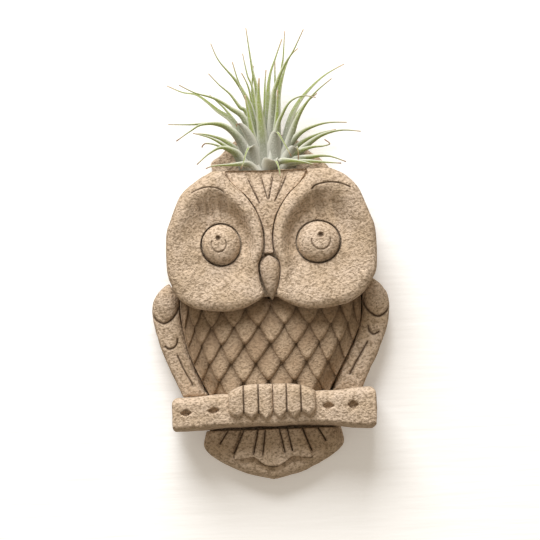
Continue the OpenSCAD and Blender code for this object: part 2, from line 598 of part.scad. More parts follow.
// Leaves of the air plant: [width at the root, turn about its own length, taper], then the leaf's
// points as [across, up from the rim, out from the middle of the pocket] in a pocket 20 deep, for a
// plant 72 high. The broad leaves with a taper below 1 arch over the rim with their faces flat.
leaves = [
    [[6.4, 30, 1.1], [-0.4, -13, -1.1], [-0.9, 2.5, -1.3], [-1.5, 19.3, -1.8], [-3.5, 41.7, -2.5],
        [-5.2, 51.3, -2.7], [-7.6, 72, -3]],
    [[7, 40, 1.1], [-1.4, -13, 0.7], [-3, 2.5, 0.9], [-4.8, 37.8, 1.7], [-7.7, 48.2, 1.9],
        [-9.7, 59.1, 2]],
    [[6.6, -25, 1.1], [-1.4, -13, 2.1], [-2.9, 2.5, 2.7], [-4.7, 19.4, 4], [-7, 33.1, 5.1],
        [-11.8, 43.6, 5.7], [-15, 55, 6]],
    [[6.8, 35, 1.1], [-1.8, -13, 1.4], [-3.7, 2.5, 1.7], [-6, 27.4, 2.8], [-8.9, 37.1, 3.2],
        [-14.1, 46.1, 3.6], [-21.8, 55.9, 3.9], [-25.5, 64.6, 4]],
    [[8, 20, 1.1], [-1.3, -13, -1.1], [-2.8, 2.5, -1.4], [-4.5, 24, -2.3], [-7.1, 41, -2.9],
        [-10.6, 49.5, -3]],
    [[8, 35, 1.1], [1.8, -13, -0.7], [3.7, 2.5, -0.9], [6, 27, -1.4], [9.6, 50.8, -1.8],
        [10.6, 56.4, -1.9], [11.8, 69.7, -2]],
    [[7.6, -30, 1.1], [1.4, -13, 2.4], [2.9, 2.5, 2.9], [4.6, 33.4, 5.1], [7.4, 44.5, 5.9],
        [11.6, 53.1, 6.5], [15.8, 59.4, 6.8], [21.2, 70, 7]],
    [[7.4, 30, 1.1], [2.1, -13, 0.7], [4.3, 2.5, 0.9], [6.9, 30.2, 1.5], [8.9, 42.9, 1.8],
        [13.3, 55.5, 2], [18.1, 60.7, 2]],
    [[8.2, 20, 1.1], [0.7, -13, 1.4], [1.4, 2.5, 1.7], [2.2, 35.1, 3.2], [3.5, 47, 3.6],
        [6.5, 55.7, 3.9], [10.3, 65.6, 4]],
    [[8, 15, 1.1], [0.1, -13, -1.4], [0.3, 2.5, -1.9], [0.5, 27, -3.3], [0.9, 41.6, -3.9],
        [1.8, 50.7, -4]],
    [[10, 35, 1.1], [3.7, -13, 1.8], [7.6, 2.5, 2.2], [12.2, 22.8, 3.3], [16.5, 32.2, 3.9],
        [23.1, 40, 4.5], [31.4, 46.9, 4.8], [41.1, 52, 5]],
    [[10, -30, 1.1], [4.3, -13, 3.5], [9, 2.5, 4.7], [14.5, 20.3, 7.2], [19.6, 30.5, 8.6],
        [26.3, 38.3, 9.6], [34.5, 44.8, 10]],
    [[9.6, -40, 1.1], [1.9, -13, 4.5], [4, 2.5, 6.1], [6.5, 20.6, 9.6], [9.2, 27.7, 11],
        [13.4, 33.9, 12.1], [19.8, 36.5, 12.8], [26.2, 35.5, 13]],
    [[11, -35, 1.1], [4, -13, 3.1], [8.3, 2.5, 4.4], [13.4, 13.2, 6.1], [20, 19.3, 7.3],
        [30.5, 22.6, 8.5], [41.3, 22.6, 9]],
    [[10.5, -40, 1.1], [4.9, -13, 4.2], [10.7, -2, 5.3], [16.4, 6.7, 7.1], [20.6, 11.4, 8.4],
        [28.7, 16.6, 10.1], [38.4, 18.7, 11.5], [48.2, 17.8, 12]],
    [[8.5, -30, 1.1], [4.2, -13, 4.5], [9.1, -2, 6.5], [14, 7, 9.5], [22.1, 10.5, 12], [29, 11.1, 13.4],
        [32.4, 12.1, 13.9], [29.8, 14.4, 14]],
    [[9, -35, 1.1], [4.1, -13, 4.5], [9, -2, 6.6], [13.8, 4, 8.9], [24.3, 6, 12.3], [32.3, 5.8, 14.2],
        [40.2, 2.8, 15]],
    [[7.4, -30, 1.1], [3.6, -13, 4.5], [7.8, -2, 7.1], [12, 2.8, 9.6], [21.8, 3.6, 13.5],
        [33, 2.6, 16.6], [37.8, 2.1, 17]],
    [[7, -30, 1.1], [2.4, -13, 3.5], [5.2, -2, 5.4], [7.6, 3.6, 8.6], [12.2, 4.3, 12.8],
        [18.6, 3.4, 15.8], [25.3, 1.6, 17]],
    [[8.8, -35, 1.1], [-4.2, -13, 1.4], [-8.7, 2.5, 1.8], [-14.1, 22.9, 2.7], [-23.4, 31.2, 3.3],
        [-32.7, 38.7, 3.7], [-40.6, 40.6, 3.9], [-48.1, 44.1, 4]],
    [[10, 30, 1.1], [-2.8, -13, 3.1], [-5.8, 2.5, 3.9], [-9.3, 24.4, 6.2], [-17, 31.8, 7.4],
        [-24.8, 36.9, 8.2], [-34.3, 40, 8.8], [-42.1, 44.2, 9]],
    [[9, 35, 1.1], [-2.5, -13, -1.1], [-5.2, 2.5, -1.4], [-8.4, 27.5, -2.3], [-12.2, 32.4, -2.6],
        [-16.8, 39, -2.8], [-22.2, 44, -2.9], [-27.2, 49.7, -3]],
    [[11.5, 35, 1.1], [-3.4, -13, 3.9], [-7, 2.5, 5], [-11.3, 12.5, 6.6], [-17.4, 20.7, 8.1],
        [-25.3, 24.1, 9.3], [-37.2, 24.1, 10.6], [-48.2, 24.5, 11]],
    [[9, 30, 1.1], [-3.6, -13, 4.5], [-7.4, 2.5, 6], [-12, 15, 8.3], [-20.5, 23.2, 10.4],
        [-30.9, 23.9, 11.9], [-37.4, 20.6, 12.7], [-44.3, 16, 13]],
    [[11, 35, 1.1], [-4.4, -13, 4.5], [-9.6, -2, 6.3], [-14.7, 7.8, 9.4], [-20.1, 12.8, 11.4],
        [-27.1, 17, 13.2], [-35.8, 19.7, 14]],
    [[8, 30, 1.1], [-3.9, -13, 4.5], [-8.4, -2, 6.6], [-13, 7, 9.7], [-23.3, 12.9, 13],
        [-29.6, 14.3, 13.9], [-31.7, 12.4, 14]],
    [[11, 35, 1.1], [-3.5, -13, 4.5], [-7.5, -2, 6.6], [-11.6, 4.4, 9], [-14.6, 9.4, 11.1],
        [-21.7, 12, 13.5], [-28.2, 9.1, 15.2], [-34.4, 3.9, 16]],
    [[7.4, 30, 1.1], [-2.4, -13, 4.5], [-5.2, -2, 7.2], [-8, 2.8, 9.5], [-12, 3.4, 11.2],
        [-18.1, 3.2, 13.6], [-26, 3, 15.7], [-30, 1.7, 16]],
    [[10, 0, 0.85], [-0.5, -13, 2], [-0.8, 1, 5], [-1.2, 14.5, 7], [-2, 27.3, 9], [-2.5, 37, 10],
        [-1.8, 46.4, 10.5]],
    [[9, 6, 0.9], [-3, -13, 1.5], [-4.4, 5, 4.5], [-6.3, 18, 7], [-7.8, 29, 8], [-9.2, 38, 8.5]],
    [[9, -6, 0.9], [3, -13, 1.5], [4.6, 5, 4], [5.9, 20, 6], [6.8, 31, 7], [7.2, 40, 7.5]],
    [[9.5, 0, 0.5], [-2, -13, 2], [-3.4, -3, 4], [-4.6, 6, 6.5], [-5.5, 11.4, 9.5], [-7, 12, 12.5],
        [-9.6, 7.6, 14.5], [-12.2, 1.8, 15]],
    [[9, 0, 0.55], [2.5, -13, 2], [3.4, -3, 4], [4.3, 6, 6.5], [5.2, 14, 9], [6.2, 18.6, 11],
        [7.8, 18, 13], [10.2, 13.2, 14.5], [13.6, 6.6, 15]],
    [[10.5, 0, 0.5], [1.5, -13, 2.5], [2, -4, 4.5], [2.3, 1, 7], [2.8, 4.2, 10.6], [3.8, 5.2, 14.6],
        [5.8, 3.9, 18.4], [6.9, 0.3, 20.3], [7.2, -3.8, 20.6]],
    [[9.5, -10, 0.6], [5.5, -12, 2], [8, -4, 4], [10.4, 3.4, 7], [12.9, 8.8, 10.5], [15.2, 10.7, 13],
        [16.3, 8.4, 14.2], [16.3, 4.4, 14.5]],
    [[7.5, 10, 0.6], [-3, -13, 2], [-4.6, 1, 5], [-6.2, 12, 8], [-8.6, 18.5, 10.5], [-11.6, 22.8, 12.5],
        [-13.6, 23.6, 13.6], [-14, 22.2, 14]]];

module leaf(spec) {
    width = spec[0].x;
    turn = spec[0].y;
    taper = spec[0].z;
    out = pocket_gap / 20;
    path = curve([for (i = [1 : len(spec) - 1])
        [spec[i].x * out, z_rim + spec[i].y * plant_h / 72, pocket_mid + spec[i].z * out]], 2);
    last = len(path) - 1;
    function ring(i) =
        let (t0 = path[min(i + 1, last)] - path[max(i - 1, 0)], t = t0 / norm(t0),
            flat = taper < 1 ? [1, 0, 0] : [t.y, -t.x, 0] / norm([t.x, t.y]),
            w0 = flat * cos(turn) + [0, 0, sin(turn)], w1 = w0 - t * (w0 * t),
            w = w1 / norm(w1), n = cross(w, t), s = i / last,
            half = out * width / 2 * pow(1 - s, taper) + leaf_t / 4,
            thick = leaf_t * (1 - 0.6 * s) / 2, cup = half * 0.2)
        [path[i] - w * half - n * cup, path[i] + n * (cup + thick), path[i] + w * half - n * cup,
            path[i] + n * (cup - thick)];
    loft([for (i = [0 : last]) ring(i)]);
}
module air_plant() {
    bulb = [[-1, 0.28], [-0.8, 0.62], [-0.5, 0.8], [-0.15, 1], [0.36, 1], [0.5, 0.7]];
    deep = pocket_gap / 2 - plant_play;
    color("darkseagreen") resize([plant_w, 0, 0]) stand_up() union() {
        loft([for (b = bulb) [for (a = [0 : 20 : 340])
            [bulb_w / 2 * b.y * cos(a), z_rim + bulb_h * b.x, pocket_mid - deep * b.y * sin(a)]]]);
        for (spec = leaves) leaf(spec);
    }
}

back_slab();
head_shell();
brow_panel();
face_disc_left();
face_disc_right();
eye_left();
eye_right();
beak();
breast_panel();
feather_row_1();
feather_row_2();
feather_row_3();
feather_row_4();
feather_row_5();
wing_left();
wing_right();
perch();
foot_left();
foot_right();
tail_fan();
tail_coverts();
air_plant();
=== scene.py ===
import math

import bpy
import numpy as np
from mathutils import Matrix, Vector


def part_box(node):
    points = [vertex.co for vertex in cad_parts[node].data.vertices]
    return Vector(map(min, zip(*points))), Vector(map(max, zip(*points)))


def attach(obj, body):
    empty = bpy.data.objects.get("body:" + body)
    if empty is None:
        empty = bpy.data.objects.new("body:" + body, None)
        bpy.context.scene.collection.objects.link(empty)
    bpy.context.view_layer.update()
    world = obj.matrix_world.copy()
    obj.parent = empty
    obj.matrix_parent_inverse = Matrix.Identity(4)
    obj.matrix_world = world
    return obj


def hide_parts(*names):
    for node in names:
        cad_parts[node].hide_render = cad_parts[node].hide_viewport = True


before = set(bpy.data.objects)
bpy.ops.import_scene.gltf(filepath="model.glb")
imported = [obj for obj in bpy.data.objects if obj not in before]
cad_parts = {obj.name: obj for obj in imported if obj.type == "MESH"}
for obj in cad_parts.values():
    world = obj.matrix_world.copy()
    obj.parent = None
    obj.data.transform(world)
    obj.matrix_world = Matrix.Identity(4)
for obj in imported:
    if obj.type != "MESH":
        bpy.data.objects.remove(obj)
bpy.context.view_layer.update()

# A wall-hung owl in sandy unglazed clay, with an air plant in the pocket of its head.
# Pieces are worked out in millimetres as (across, up, off the wall) and made in metres.
# Left and right are as seen from the front.
mm = 0.001


def boxMm(nodeName):
    low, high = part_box(nodeName)
    return np.array([low[0], low[2], -high[1]]) / mm, np.array([high[0], high[2], -low[1]]) / mm


discLow, discHigh = boxMm("face_disc_right")
breastLow, breastHigh = boxMm("breast_panel")
perchLow, perchHigh = boxMm("perch")
eyeLow, eyeHigh = boxMm("eye_right")
plantLow, plantHigh = boxMm("air_plant")
zRim = discHigh[1]                # rim of the pocket
headHalf = discHigh[0]
headTall = zRim - discLow[1]
headFront = discLow[2]            # front of the pocket wall
eyeSpot = (eyeLow[:2] + eyeHigh[:2]) / 2
eyeRadius = (eyeHigh[0] - eyeLow[0]) / 2


def smoothStep(low, high, value):
    t = np.clip((value - low) / (high - low), 0, 1)
    return t * t * (3 - 2 * t)


def curveThrough(points, steps):
    points = np.asarray(points, float)
    held = np.vstack([points[:1], points, points[-1:]])
    rows = []
    for i in range(len(points) - 1):
        a, b, c, d = held[i:i + 4]
        for t in np.arange(steps) / steps:
            rows.append(0.5 * (2 * b + (c - a) * t + (2 * a - 5 * b + 4 * c - d) * t * t
                               + (3 * b - a - 3 * c + d) * t ** 3))
    return np.array(rows + [points[-1]])


def evenly(points, count):
    steps = np.r_[0, np.cumsum(np.linalg.norm(np.diff(points, axis=0), axis=1))]
    wanted = np.linspace(0, steps[-1], count)
    return np.column_stack([np.interp(wanted, steps, column) for column in points.T])


def lumps(spots, size, seed):
    # soft seeded noise between -1 and 1, with lumps of that size in millimetres
    table = np.random.RandomState(seed).uniform(-1, 1, (32, 32, 32))
    scaled = spots / size + 512
    base = np.floor(scaled).astype(int)
    part = smoothStep(0, 1, scaled - base)
    total = np.zeros(len(spots))
    for corner in range(8):
        step = np.array([corner & 1, corner >> 1 & 1, corner >> 2 & 1])
        share = np.prod(np.where(step == 1, part, 1 - part), axis=1)
        index = (base + step) % 32
        total += share * table[index[:, 0], index[:, 1], index[:, 2]]
    return total


def lineDistance(flat, line):
    best = np.full(len(flat), 1e9)
    for a, b in zip(line[:-1], line[1:]):
        d = b - a
        t = np.clip(((flat - a) @ d) / max(d @ d, 1e-9), 0, 1)
        best = np.minimum(best, np.hypot(*(flat - a - t[:, None] * d).T))
    return best


def toolMarks(flat, marks):
    # how deep tool lines cut at each spot, and how dark the painted shade in them is
    depth = np.zeros(len(flat))
    dark = np.zeros(len(flat))
    for points, width, deep in marks:
        away = lineDistance(flat, curveThrough(points, 5)) / (width / 2)
        depth = np.maximum(depth, deep * np.exp(-away ** 2))
        dark = np.maximum(dark, np.exp(-(away * 1.15) ** 2) * min(1, deep / 0.8))
    return depth, dark


def mirrored(marks):
    return marks + [([(-x, z) for x, z in points], width, deep) for points, width, deep in marks]


def toSpots(placed):
    return placed[:, [0, 2, 1]] / [mm, mm, -mm]


def toMetres(spots):
    return spots[:, [0, 2, 1]] * [mm, -mm, mm]


def toLinear(hexColour):
    channels = [int(hexColour[i:i + 2], 16) / 255 for i in (1, 3, 5)]
    return [c / 12.92 if c <= 0.04045 else ((c + 0.055) / 1.055) ** 2.4 for c in channels] + [1]


def addNode(tree, kind, inputs=(), **settings):
    node = tree.nodes.new("ShaderNode" + kind)
    for name, value in settings.items():
        setattr(node, name, value)
    for name, value in dict(inputs).items():
        if isinstance(value, bpy.types.NodeSocket):
            tree.links.new(value, node.inputs[name])
        else:
            node.inputs[name].default_value = value
    return node


def newMaterial(name):
    material = bpy.data.materials.new(name)
    material.use_nodes = True
    material.node_tree.nodes.clear()
    return material, material.node_tree


def addPiece(name, spots, faces, material, nodes, body, marks=None):
    mesh = bpy.data.meshes.new(name)
    mesh.from_pydata(toMetres(spots).tolist(), [], faces)
    mesh.polygons.foreach_set("use_smooth", np.ones(len(mesh.polygons), bool))
    for markName, values in (marks or {}).items():
        layer = mesh.attributes.new(markName, "FLOAT", "POINT")
        layer.data.foreach_set("value", np.asarray(values, np.float32))
    piece = bpy.data.objects.new(name, mesh)
    bpy.context.scene.collection.objects.link(piece)
    piece.data.materials.append(material)
    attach(piece, body)
    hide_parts(*nodes)
    return piece


def tubeFaces(rings, around, first=0):
    faces = []
    for j in range(rings - 1):
        for i in range(around):
            a = first + j * around + i
            b = first + j * around + (i + 1) % around
            faces.append((a, a + around, b + around, b))
    return faces


# Sandy unglazed clay: low-fired stoneware with sand and grog, brushed while damp and left bare.
# It is dead matt, with close grains of pale sand and small pits between them; the pits and the tool lines are
# darkened with painted shade.
clayLook = {
    "pale": "#E3CEB8", "shade": "#D2BBA0",       # dry face and the damper-looking patches
    # the breast colours are the same clay made darker, as painted shade under the face discs
    "breastPale": "#C6AE93", "breastShade": "#B1977C",
    "pitShade": "#8F7A62",                        # painted shade in the pits between the grains
    "pitShadeStart": 0.54, "pitShadeFull": 0.39, "pitShadeMost": 0.72,
    "paintedShade": "#4E3B2B",                           # painted shade at the bottom of tool lines, seams and hollows
    "patch": 13, "grain": 1.15, "sand": 0.5,     # millimetres
    "brushTurn": 40, "brushLong": 1.25,         # degrees and times longer than wide
    "grainDeep": 1.3, "sandDeep": 0.34,         # millimetres
    "roughness": 0.95, "specular": 0.15,
}


def sandyClay(name, paleHex, shadeHex):
    material, tree = newMaterial(name)
    place = addNode(tree, "TexCoord").outputs["Object"]
    brushTurn = (0, math.radians(clayLook["brushTurn"]), 0)
    brushed = addNode(tree, "Mapping", {"Vector": place, "Rotation": brushTurn,
                                        "Scale": (1 / clayLook["brushLong"], 1, 1)}).outputs["Vector"]
    patch = addNode(tree, "TexNoise", {"Vector": place, "Scale": 1 / (clayLook["patch"] * mm),
                                       "Detail": 3.0, "Roughness": 0.55}).outputs["Fac"]
    grain = addNode(tree, "TexNoise", {"Vector": brushed, "Scale": 1 / (clayLook["grain"] * mm),
                                       "Detail": 3.0, "Roughness": 0.62}).outputs["Fac"]
    sand = addNode(tree, "TexNoise", {"Vector": place, "Scale": 1 / (clayLook["sand"] * mm),
                                      "Detail": 1.0}).outputs["Fac"]
    patchShare = addNode(tree, "MapRange", {"Value": patch, "From Min": 0.35,
                                            "From Max": 0.65}).outputs["Result"]
    base = addNode(tree, "Mix", {0: patchShare, 6: toLinear(shadeHex), 7: toLinear(paleHex)},
                   data_type="RGBA").outputs[2]
    # painted shade: the clay darkens where the grain noise is low, in the pits between the grains
    pitShadeShare = addNode(tree, "MapRange", {"Value": grain, "From Min": clayLook["pitShadeStart"],
                                             "From Max": clayLook["pitShadeFull"],
                                             "To Max": clayLook["pitShadeMost"]}).outputs["Result"]
    grained = addNode(tree, "Mix", {0: pitShadeShare, 6: base, 7: toLinear(clayLook["pitShade"])},
                      data_type="RGBA").outputs[2]
    # painted shade from a point attribute, in tool lines, seams, hollows and under overlaps
    paintedShade = addNode(tree, "Attribute", attribute_name="paintedShade").outputs["Fac"]
    coloured = addNode(tree, "Mix", {0: paintedShade, 6: grained, 7: toLinear(clayLook["paintedShade"])},
                       data_type="RGBA").outputs[2]
    coarse = addNode(tree, "Bump", {"Height": grain, "Distance": clayLook["grainDeep"] * mm,
                                    "Strength": 1.0}).outputs["Normal"]
    fine = addNode(tree, "Bump", {"Height": sand, "Distance": clayLook["sandDeep"] * mm,
                                  "Strength": 1.0, "Normal": coarse}).outputs["Normal"]
    surface = addNode(tree, "BsdfPrincipled", {"Base Color": coloured, "Normal": fine,
                                               "Roughness": clayLook["roughness"],
                                               "Specular IOR Level": clayLook["specular"]}).outputs["BSDF"]
    addNode(tree, "OutputMaterial", {"Surface": surface})
    return material


paleClay = sandyClay("sandy_unglazed_clay_pale", clayLook["pale"], clayLook["shade"])
# painted shade: a darker copy of the clay for the breast and its feathers
breastShadedClay = sandyClay("sandy_unglazed_clay_breast_painted_shade", clayLook["breastPale"], clayLook["breastShade"])
print("materials made")


# How far the hand-made owl is off true, in millimetres across and heights up from the hanging hole
headSkew = {"left": 1.4, "leftChin": -0.8, "right": 1.3, "rimEnd": 3.2, "rimReach": 8}
browLean = {"back": 4.2, "tall": 20}
bodyLean = {"by": 2.1, "from": -84, "to": -112}
wingFull = {"outer": 1.35, "foot": -1.3}
seamClay = {"level": 13.8, "wide": 11}          # where breast and wings meet
perchBend = {"leftTop": -1.5, "rightTop": 1.2, "leftFoot": -1.1, "rightFoot": -2.3, "foot": 0.5}
tailShift = 1.5


def handMade(spots):
    # the head is pushed a little to the right, most at the left end of its rim
    below = smoothStep(zRim + 6, zRim + 1, spots[:, 1]) * smoothStep(-82, -70, spots[:, 1])
    leftShare = smoothStep(8, 40, -spots[:, 0])
    nearRim = np.exp(-((spots[:, 1] - zRim + 1) / headSkew["rimReach"]) ** 2)
    atRim = headSkew["rimEnd"] * nearRim * smoothStep(21, 34, -spots[:, 0])
    atChin = (headSkew["leftChin"] - headSkew["left"]) * smoothStep(-60, -74, spots[:, 1])
    leftPush = leftShare * (headSkew["left"] + atChin) + atRim
    rightPush = headSkew["right"] * smoothStep(14, 44, spots[:, 0])
    return spots + np.outer((leftPush + rightPush) * below, [1, 0, 0])


def leaningBrow(spots):
    # the forehead leans back towards the rim and its top edge is rounded over
    lean = browLean["back"] * smoothStep(zRim - browLean["tall"], zRim + 2, spots[:, 1]) ** 1.5
    front = smoothStep(headFront + 1, headFront + 3, spots[:, 2])
    return spots - np.outer(lean * front, [0, 0, 1])


# Outer edge of the breast, where it meets the wings
breastEdge = np.array([(45.4, -62), (45.4, -74), (45.4, -80), (44.8, -84), (43.8, -89.5), (41.9, -95.5),
                       (39.3, -102), (37, -107), (35, -111), (32.4, -115), (30.3, -120.5)])


def edgeAt(z):
    return np.interp(-z, -breastEdge[:, 1], breastEdge[:, 0])


def fromBreastEdge(spots):
    return edgeAt(spots[:, 1]) - np.abs(spots[:, 0])


def leaningBody(spots):
    # below the shoulders the body leans to the left
    lean = bodyLean["by"] * smoothStep(bodyLean["from"], bodyLean["to"], spots[:, 1])
    return spots - np.outer(lean, [1, 0, 0])


def meetingWings(spots):
    # the breast comes down, or up, to the level of the wings along their seam
    near = (1 - smoothStep(0, seamClay["wide"], fromBreastEdge(spots))) ** 2 * smoothStep(7, 9, spots[:, 2])
    return spots + np.outer((seamClay["level"] - spots[:, 2]) * near, [0, 0, 1])


def leaningBreast(spots):
    return leaningBody(meetingWings(spots))


def fullWings(spots):
    # the wings lean with the body, less at their outer edges, and reach down to the perch
    down = smoothStep(bodyLean["from"], bodyLean["to"], spots[:, 1])
    outer = wingFull["outer"] * smoothStep(2, 9, -fromBreastEdge(spots))
    foot = wingFull["foot"] * smoothStep(-113, -119, spots[:, 1])
    return spots + np.column_stack([(outer - bodyLean["by"]) * down, foot, 0 * foot])


def bentPerch(spots):
    # the bar is bent a little: its left end droops and its under side arches
    left = smoothStep(20, 48, -spots[:, 0])
    right = smoothStep(20, 48, spots[:, 0])
    share = smoothStep(perchLow[1] + 4, perchHigh[1] - 4, spots[:, 1])
    atTop = perchBend["leftTop"] * left + perchBend["rightTop"] * right
    atFoot = perchBend["foot"] + perchBend["leftFoot"] * left + perchBend["rightFoot"] * right
    return spots + np.outer(atFoot + (atTop - atFoot) * share, [0, 1, 0])


def tailToLeft(spots):
    return spots - [tailShift, 0, 0]


def softClay(nodeName, softPiece, material, marks=(), reshape=None):
    # a copy of the CAD piece with pressed, rounded edges, carved tool lines with painted shade in them and
    # hand-made lumps
    piece = bpy.data.objects.new(nodeName + "_clay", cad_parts[nodeName].data.copy())
    bpy.context.scene.collection.objects.link(piece)
    remesh = piece.modifiers.new("clay", "REMESH")
    remesh.mode = "VOXEL"
    remesh.voxel_size = softPiece["voxel"] * mm
    soft = piece.modifiers.new("soft", "SMOOTH")
    soft.factor = 0.5
    soft.iterations = softPiece["rounds"]
    ready = piece.evaluated_get(bpy.context.evaluated_depsgraph_get())
    mesh = bpy.data.meshes.new_from_object(ready)
    piece.modifiers.clear()
    piece.data = mesh
    mesh.name = piece.name
    count = len(mesh.vertices)
    placed = np.empty(count * 3)
    normals = np.empty(count * 3)
    mesh.vertices.foreach_get("co", placed)
    mesh.vertices.foreach_get("normal", normals)
    placed = placed.reshape(-1, 3)
    normals = normals.reshape(-1, 3)
    spots = toSpots(placed)
    facing = smoothStep(0.1, 0.6, -normals[:, 1])
    depth, dark = toolMarks(spots[:, :2], marks)
    swell = softPiece["lumps"] * (lumps(spots, 8, 11) + 0.4 * lumps(spots, 2.6, 12))
    placed += normals * ((swell + softPiece.get("grow", 0.1)) * mm)[:, None]
    placed[:, 1] += facing * depth * mm
    if reshape:
        placed = toMetres(reshape(toSpots(placed)))
    mesh.vertices.foreach_set("co", placed.ravel())
    mesh.polygons.foreach_set("use_smooth", np.ones(len(mesh.polygons), bool))
    # painted shade along the tool lines, on the faces that turn to the front
    layer = mesh.attributes.new("paintedShade", "FLOAT", "POINT")
    layer.data.foreach_set("value", (dark * facing).astype(np.float32))
    mesh.materials.clear()
    mesh.materials.append(material)
    mesh.update()
    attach(piece, "owl")
    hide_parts(nodeName)
    return piece


# Slab, pocket and forehead
slabClay = {"voxel": 0.7, "rounds": 5, "lumps": 0.35}
headClay = {"voxel": 0.7, "rounds": 4, "lumps": 0.3}
browClay = {"voxel": 0.35, "rounds": 5, "lumps": 0.3}
browMarks = [
    ([(-10.3, -8.4), (-8.4, -15), (-3.8, -25.3)], 0.7, 0.9),
    ([(-3.3, -8.4), (-1.9, -15), (0.3, -23.5)], 0.65, 0.8),
    ([(4.1, -8.4), (2.9, -15), (1.0, -23.5)], 0.6, 0.8),
    ([(11, -8.4), (8.6, -15.5), (4, -24.6)], 0.7, 0.9),
]
softClay("back_slab", slabClay, paleClay, reshape=handMade)
softClay("head_shell", headClay, paleClay, reshape=handMade)
softClay("brow_panel", browClay, paleClay, browMarks, leaningBrow)
print("slab, pocket and forehead made")

# Face discs: a thick brow and inner ridge round a scooped bowl, cheeks that slope up to their edge
discClay = {
    "around": 520, "out": 88, "wall": 7, "eyeGap": 0.65, "bowl": (28, -28), "bowlWide": (11, 7),
    "drawnHalf": 52.75, "drawnTall": 70, "drawnRim": -9,         # the head that the edge below is for
    "floor": [33.8, 32.2, 31.3, 31.1, 31.6, 32.8, 33.8, 34.2],   # from the outer side, anticlockwise
    "crest": [36.2, 37.4, 38.2, 38.5, 38.3, 37.2, 36.9, 36.4],
    "from": [0.0, 0.08, 0.22, 0.2, 0.12, 0.0, 0.0, 0.0],
    "to": [0.95, 0.8, 0.72, 0.7, 0.72, 0.8, 0.8, 0.95],
    "edgeWide": [4.5, 5.5, 6.5, 3.2, 2.8, 3.2, 4.8, 5.0],
    "edgeDrop": [4.2, 4.8, 4.6, 2.8, 2.8, 3.0, 4.6, 4.8],
}
discEdge = [
    (31.5, -9), (37.5, -12), (42, -16), (45, -20), (47.5, -26), (50, -32.5), (52, -38), (52.7, -45),
    (52.7, -55), (52, -61), (49.7, -65.5), (47.5, -69), (45, -72), (42.7, -74), (38.3, -76.7),
    (33, -77.9), (27.6, -78.7), (22, -79), (17.3, -78.6), (12.3, -77.3), (8.5, -75.4), (4.4, -73.0),
    (3.1, -70.2), (4.7, -64.8), (5.5, -59), (5.2, -55.0), (3.9, -52.1), (2.9, -48.4), (2.5, -44),
    (2.6, -41.5), (3.4, -35.8), (5.2, -30.5), (8, -25.4), (11.6, -20.7), (14.6, -17.9),
    (17.4, -15), (21.5, -10.7), (22.6, -9),
]


def byAngle(values, angle):
    turn = angle / (2 * math.pi) * len(values) % len(values)
    first = np.floor(turn).astype(int) % len(values)
    t = smoothStep(0, 1, turn - np.floor(turn))
    values = np.asarray(values)
    return values[first] * (1 - t) + values[(first + 1) % len(values)] * t


def faceDisc(nodeName, side, browArc, arcDeep, scrape):
    scale = np.array([headHalf / discClay["drawnHalf"], headTall / discClay["drawnTall"]])
    edge = np.vstack([curveThrough(discEdge, 6), [discEdge[0]]])
    edge = (edge - [0, discClay["drawnRim"]]) * scale + [0, zRim]
    edge = evenly(edge, discClay["around"] + 1)[:-1]
    seat = eyeRadius + discClay["eyeGap"]
    reach = np.linalg.norm(edge - eyeSpot, axis=1)
    angle = np.arctan2(edge[:, 1] - eyeSpot[1], edge[:, 0] - eyeSpot[0])
    inner = eyeSpot + (edge - eyeSpot) * (seat / reach)[:, None]
    shares = 1 - (1 - np.linspace(0, 1, discClay["out"])) ** 1.5
    floor, crest, start, end, wide, drop = [byAngle(discClay[key], angle) for key in
                                            ("floor", "crest", "from", "to", "edgeWide", "edgeDrop")]
    closed = np.vstack([edge, edge[:1]])
    rings = []
    for share in shares:
        flat = inner + (edge - inner) * share
        rise = smoothStep(0, 1, np.clip((share - start) / (end - start), 0, 1))
        height = floor + (crest - floor) * rise
        away = np.clip(lineDistance(flat, closed) / wide, 0, 1)
        height -= drop * (1 - np.sqrt(np.clip(1 - (1 - away) ** 2, 0, 1)))
        rings.append(np.column_stack([flat, height]))
    spots = np.vstack(rings)
    mirror = spots * [side, 1, 1]
    fromBowl = (spots[:, :2] - discClay["bowl"]) / discClay["bowlWide"]
    bowl = np.exp(-np.sum(fromBowl ** 2, axis=1))
    combed = np.column_stack([mirror[:, 0] + 0.12 * mirror[:, 1], mirror[:, 1] / 9, mirror[:, 2] * 0])
    strokes = lumps(combed, 1.5, 31)
    spots[:, 2] += scrape * bowl * strokes
    depth, dark = toolMarks(spots[:, :2], [(browArc, 0.7, arcDeep)])
    inside = smoothStep(0.2, 2.5, lineDistance(spots[:, :2], closed))
    swell = 0.32 * lumps(mirror, 7, 21) + 0.22 * lumps(mirror, 2.4, 22)
    spots[:, 2] += (swell - 0.25 - depth) * np.maximum(inside, 0.25)
    top = spots[-discClay["around"]:, :]
    wall = [np.column_stack([top[:, :2], top[:, 2] + (headFront - 0.4 - top[:, 2]) * t])
            for t in np.linspace(0, 1, discClay["wall"])[1:]]
    seatRing = np.column_stack([inner, np.full(len(inner), headFront + 0.6)])
    rows = [seatRing, spots] + wall
    # painted shade in the scraped bowl under the brow
    dark = np.maximum(dark, 0.25 * bowl * (strokes < -0.2))
    # painted shade at the seat of the eye and round the inner edge of the disc
    paintedShade = np.concatenate([np.ones(len(inner)), dark] + [np.zeros(len(inner))] * len(wall))
    paintedShade[len(inner):2 * len(inner)] = 0.8
    paintedShade[2 * len(inner):3 * len(inner)] = 0.3
    spots = handMade(np.vstack(rows) * [side, 1, 1])
    faces = tubeFaces(len(rows) - 1 + len(shares), discClay["around"])
    if side > 0:
        faces = [face[::-1] for face in faces]
    addPiece(nodeName + "_clay", spots, faces, paleClay, [nodeName], "owl", {"paintedShade": paintedShade})


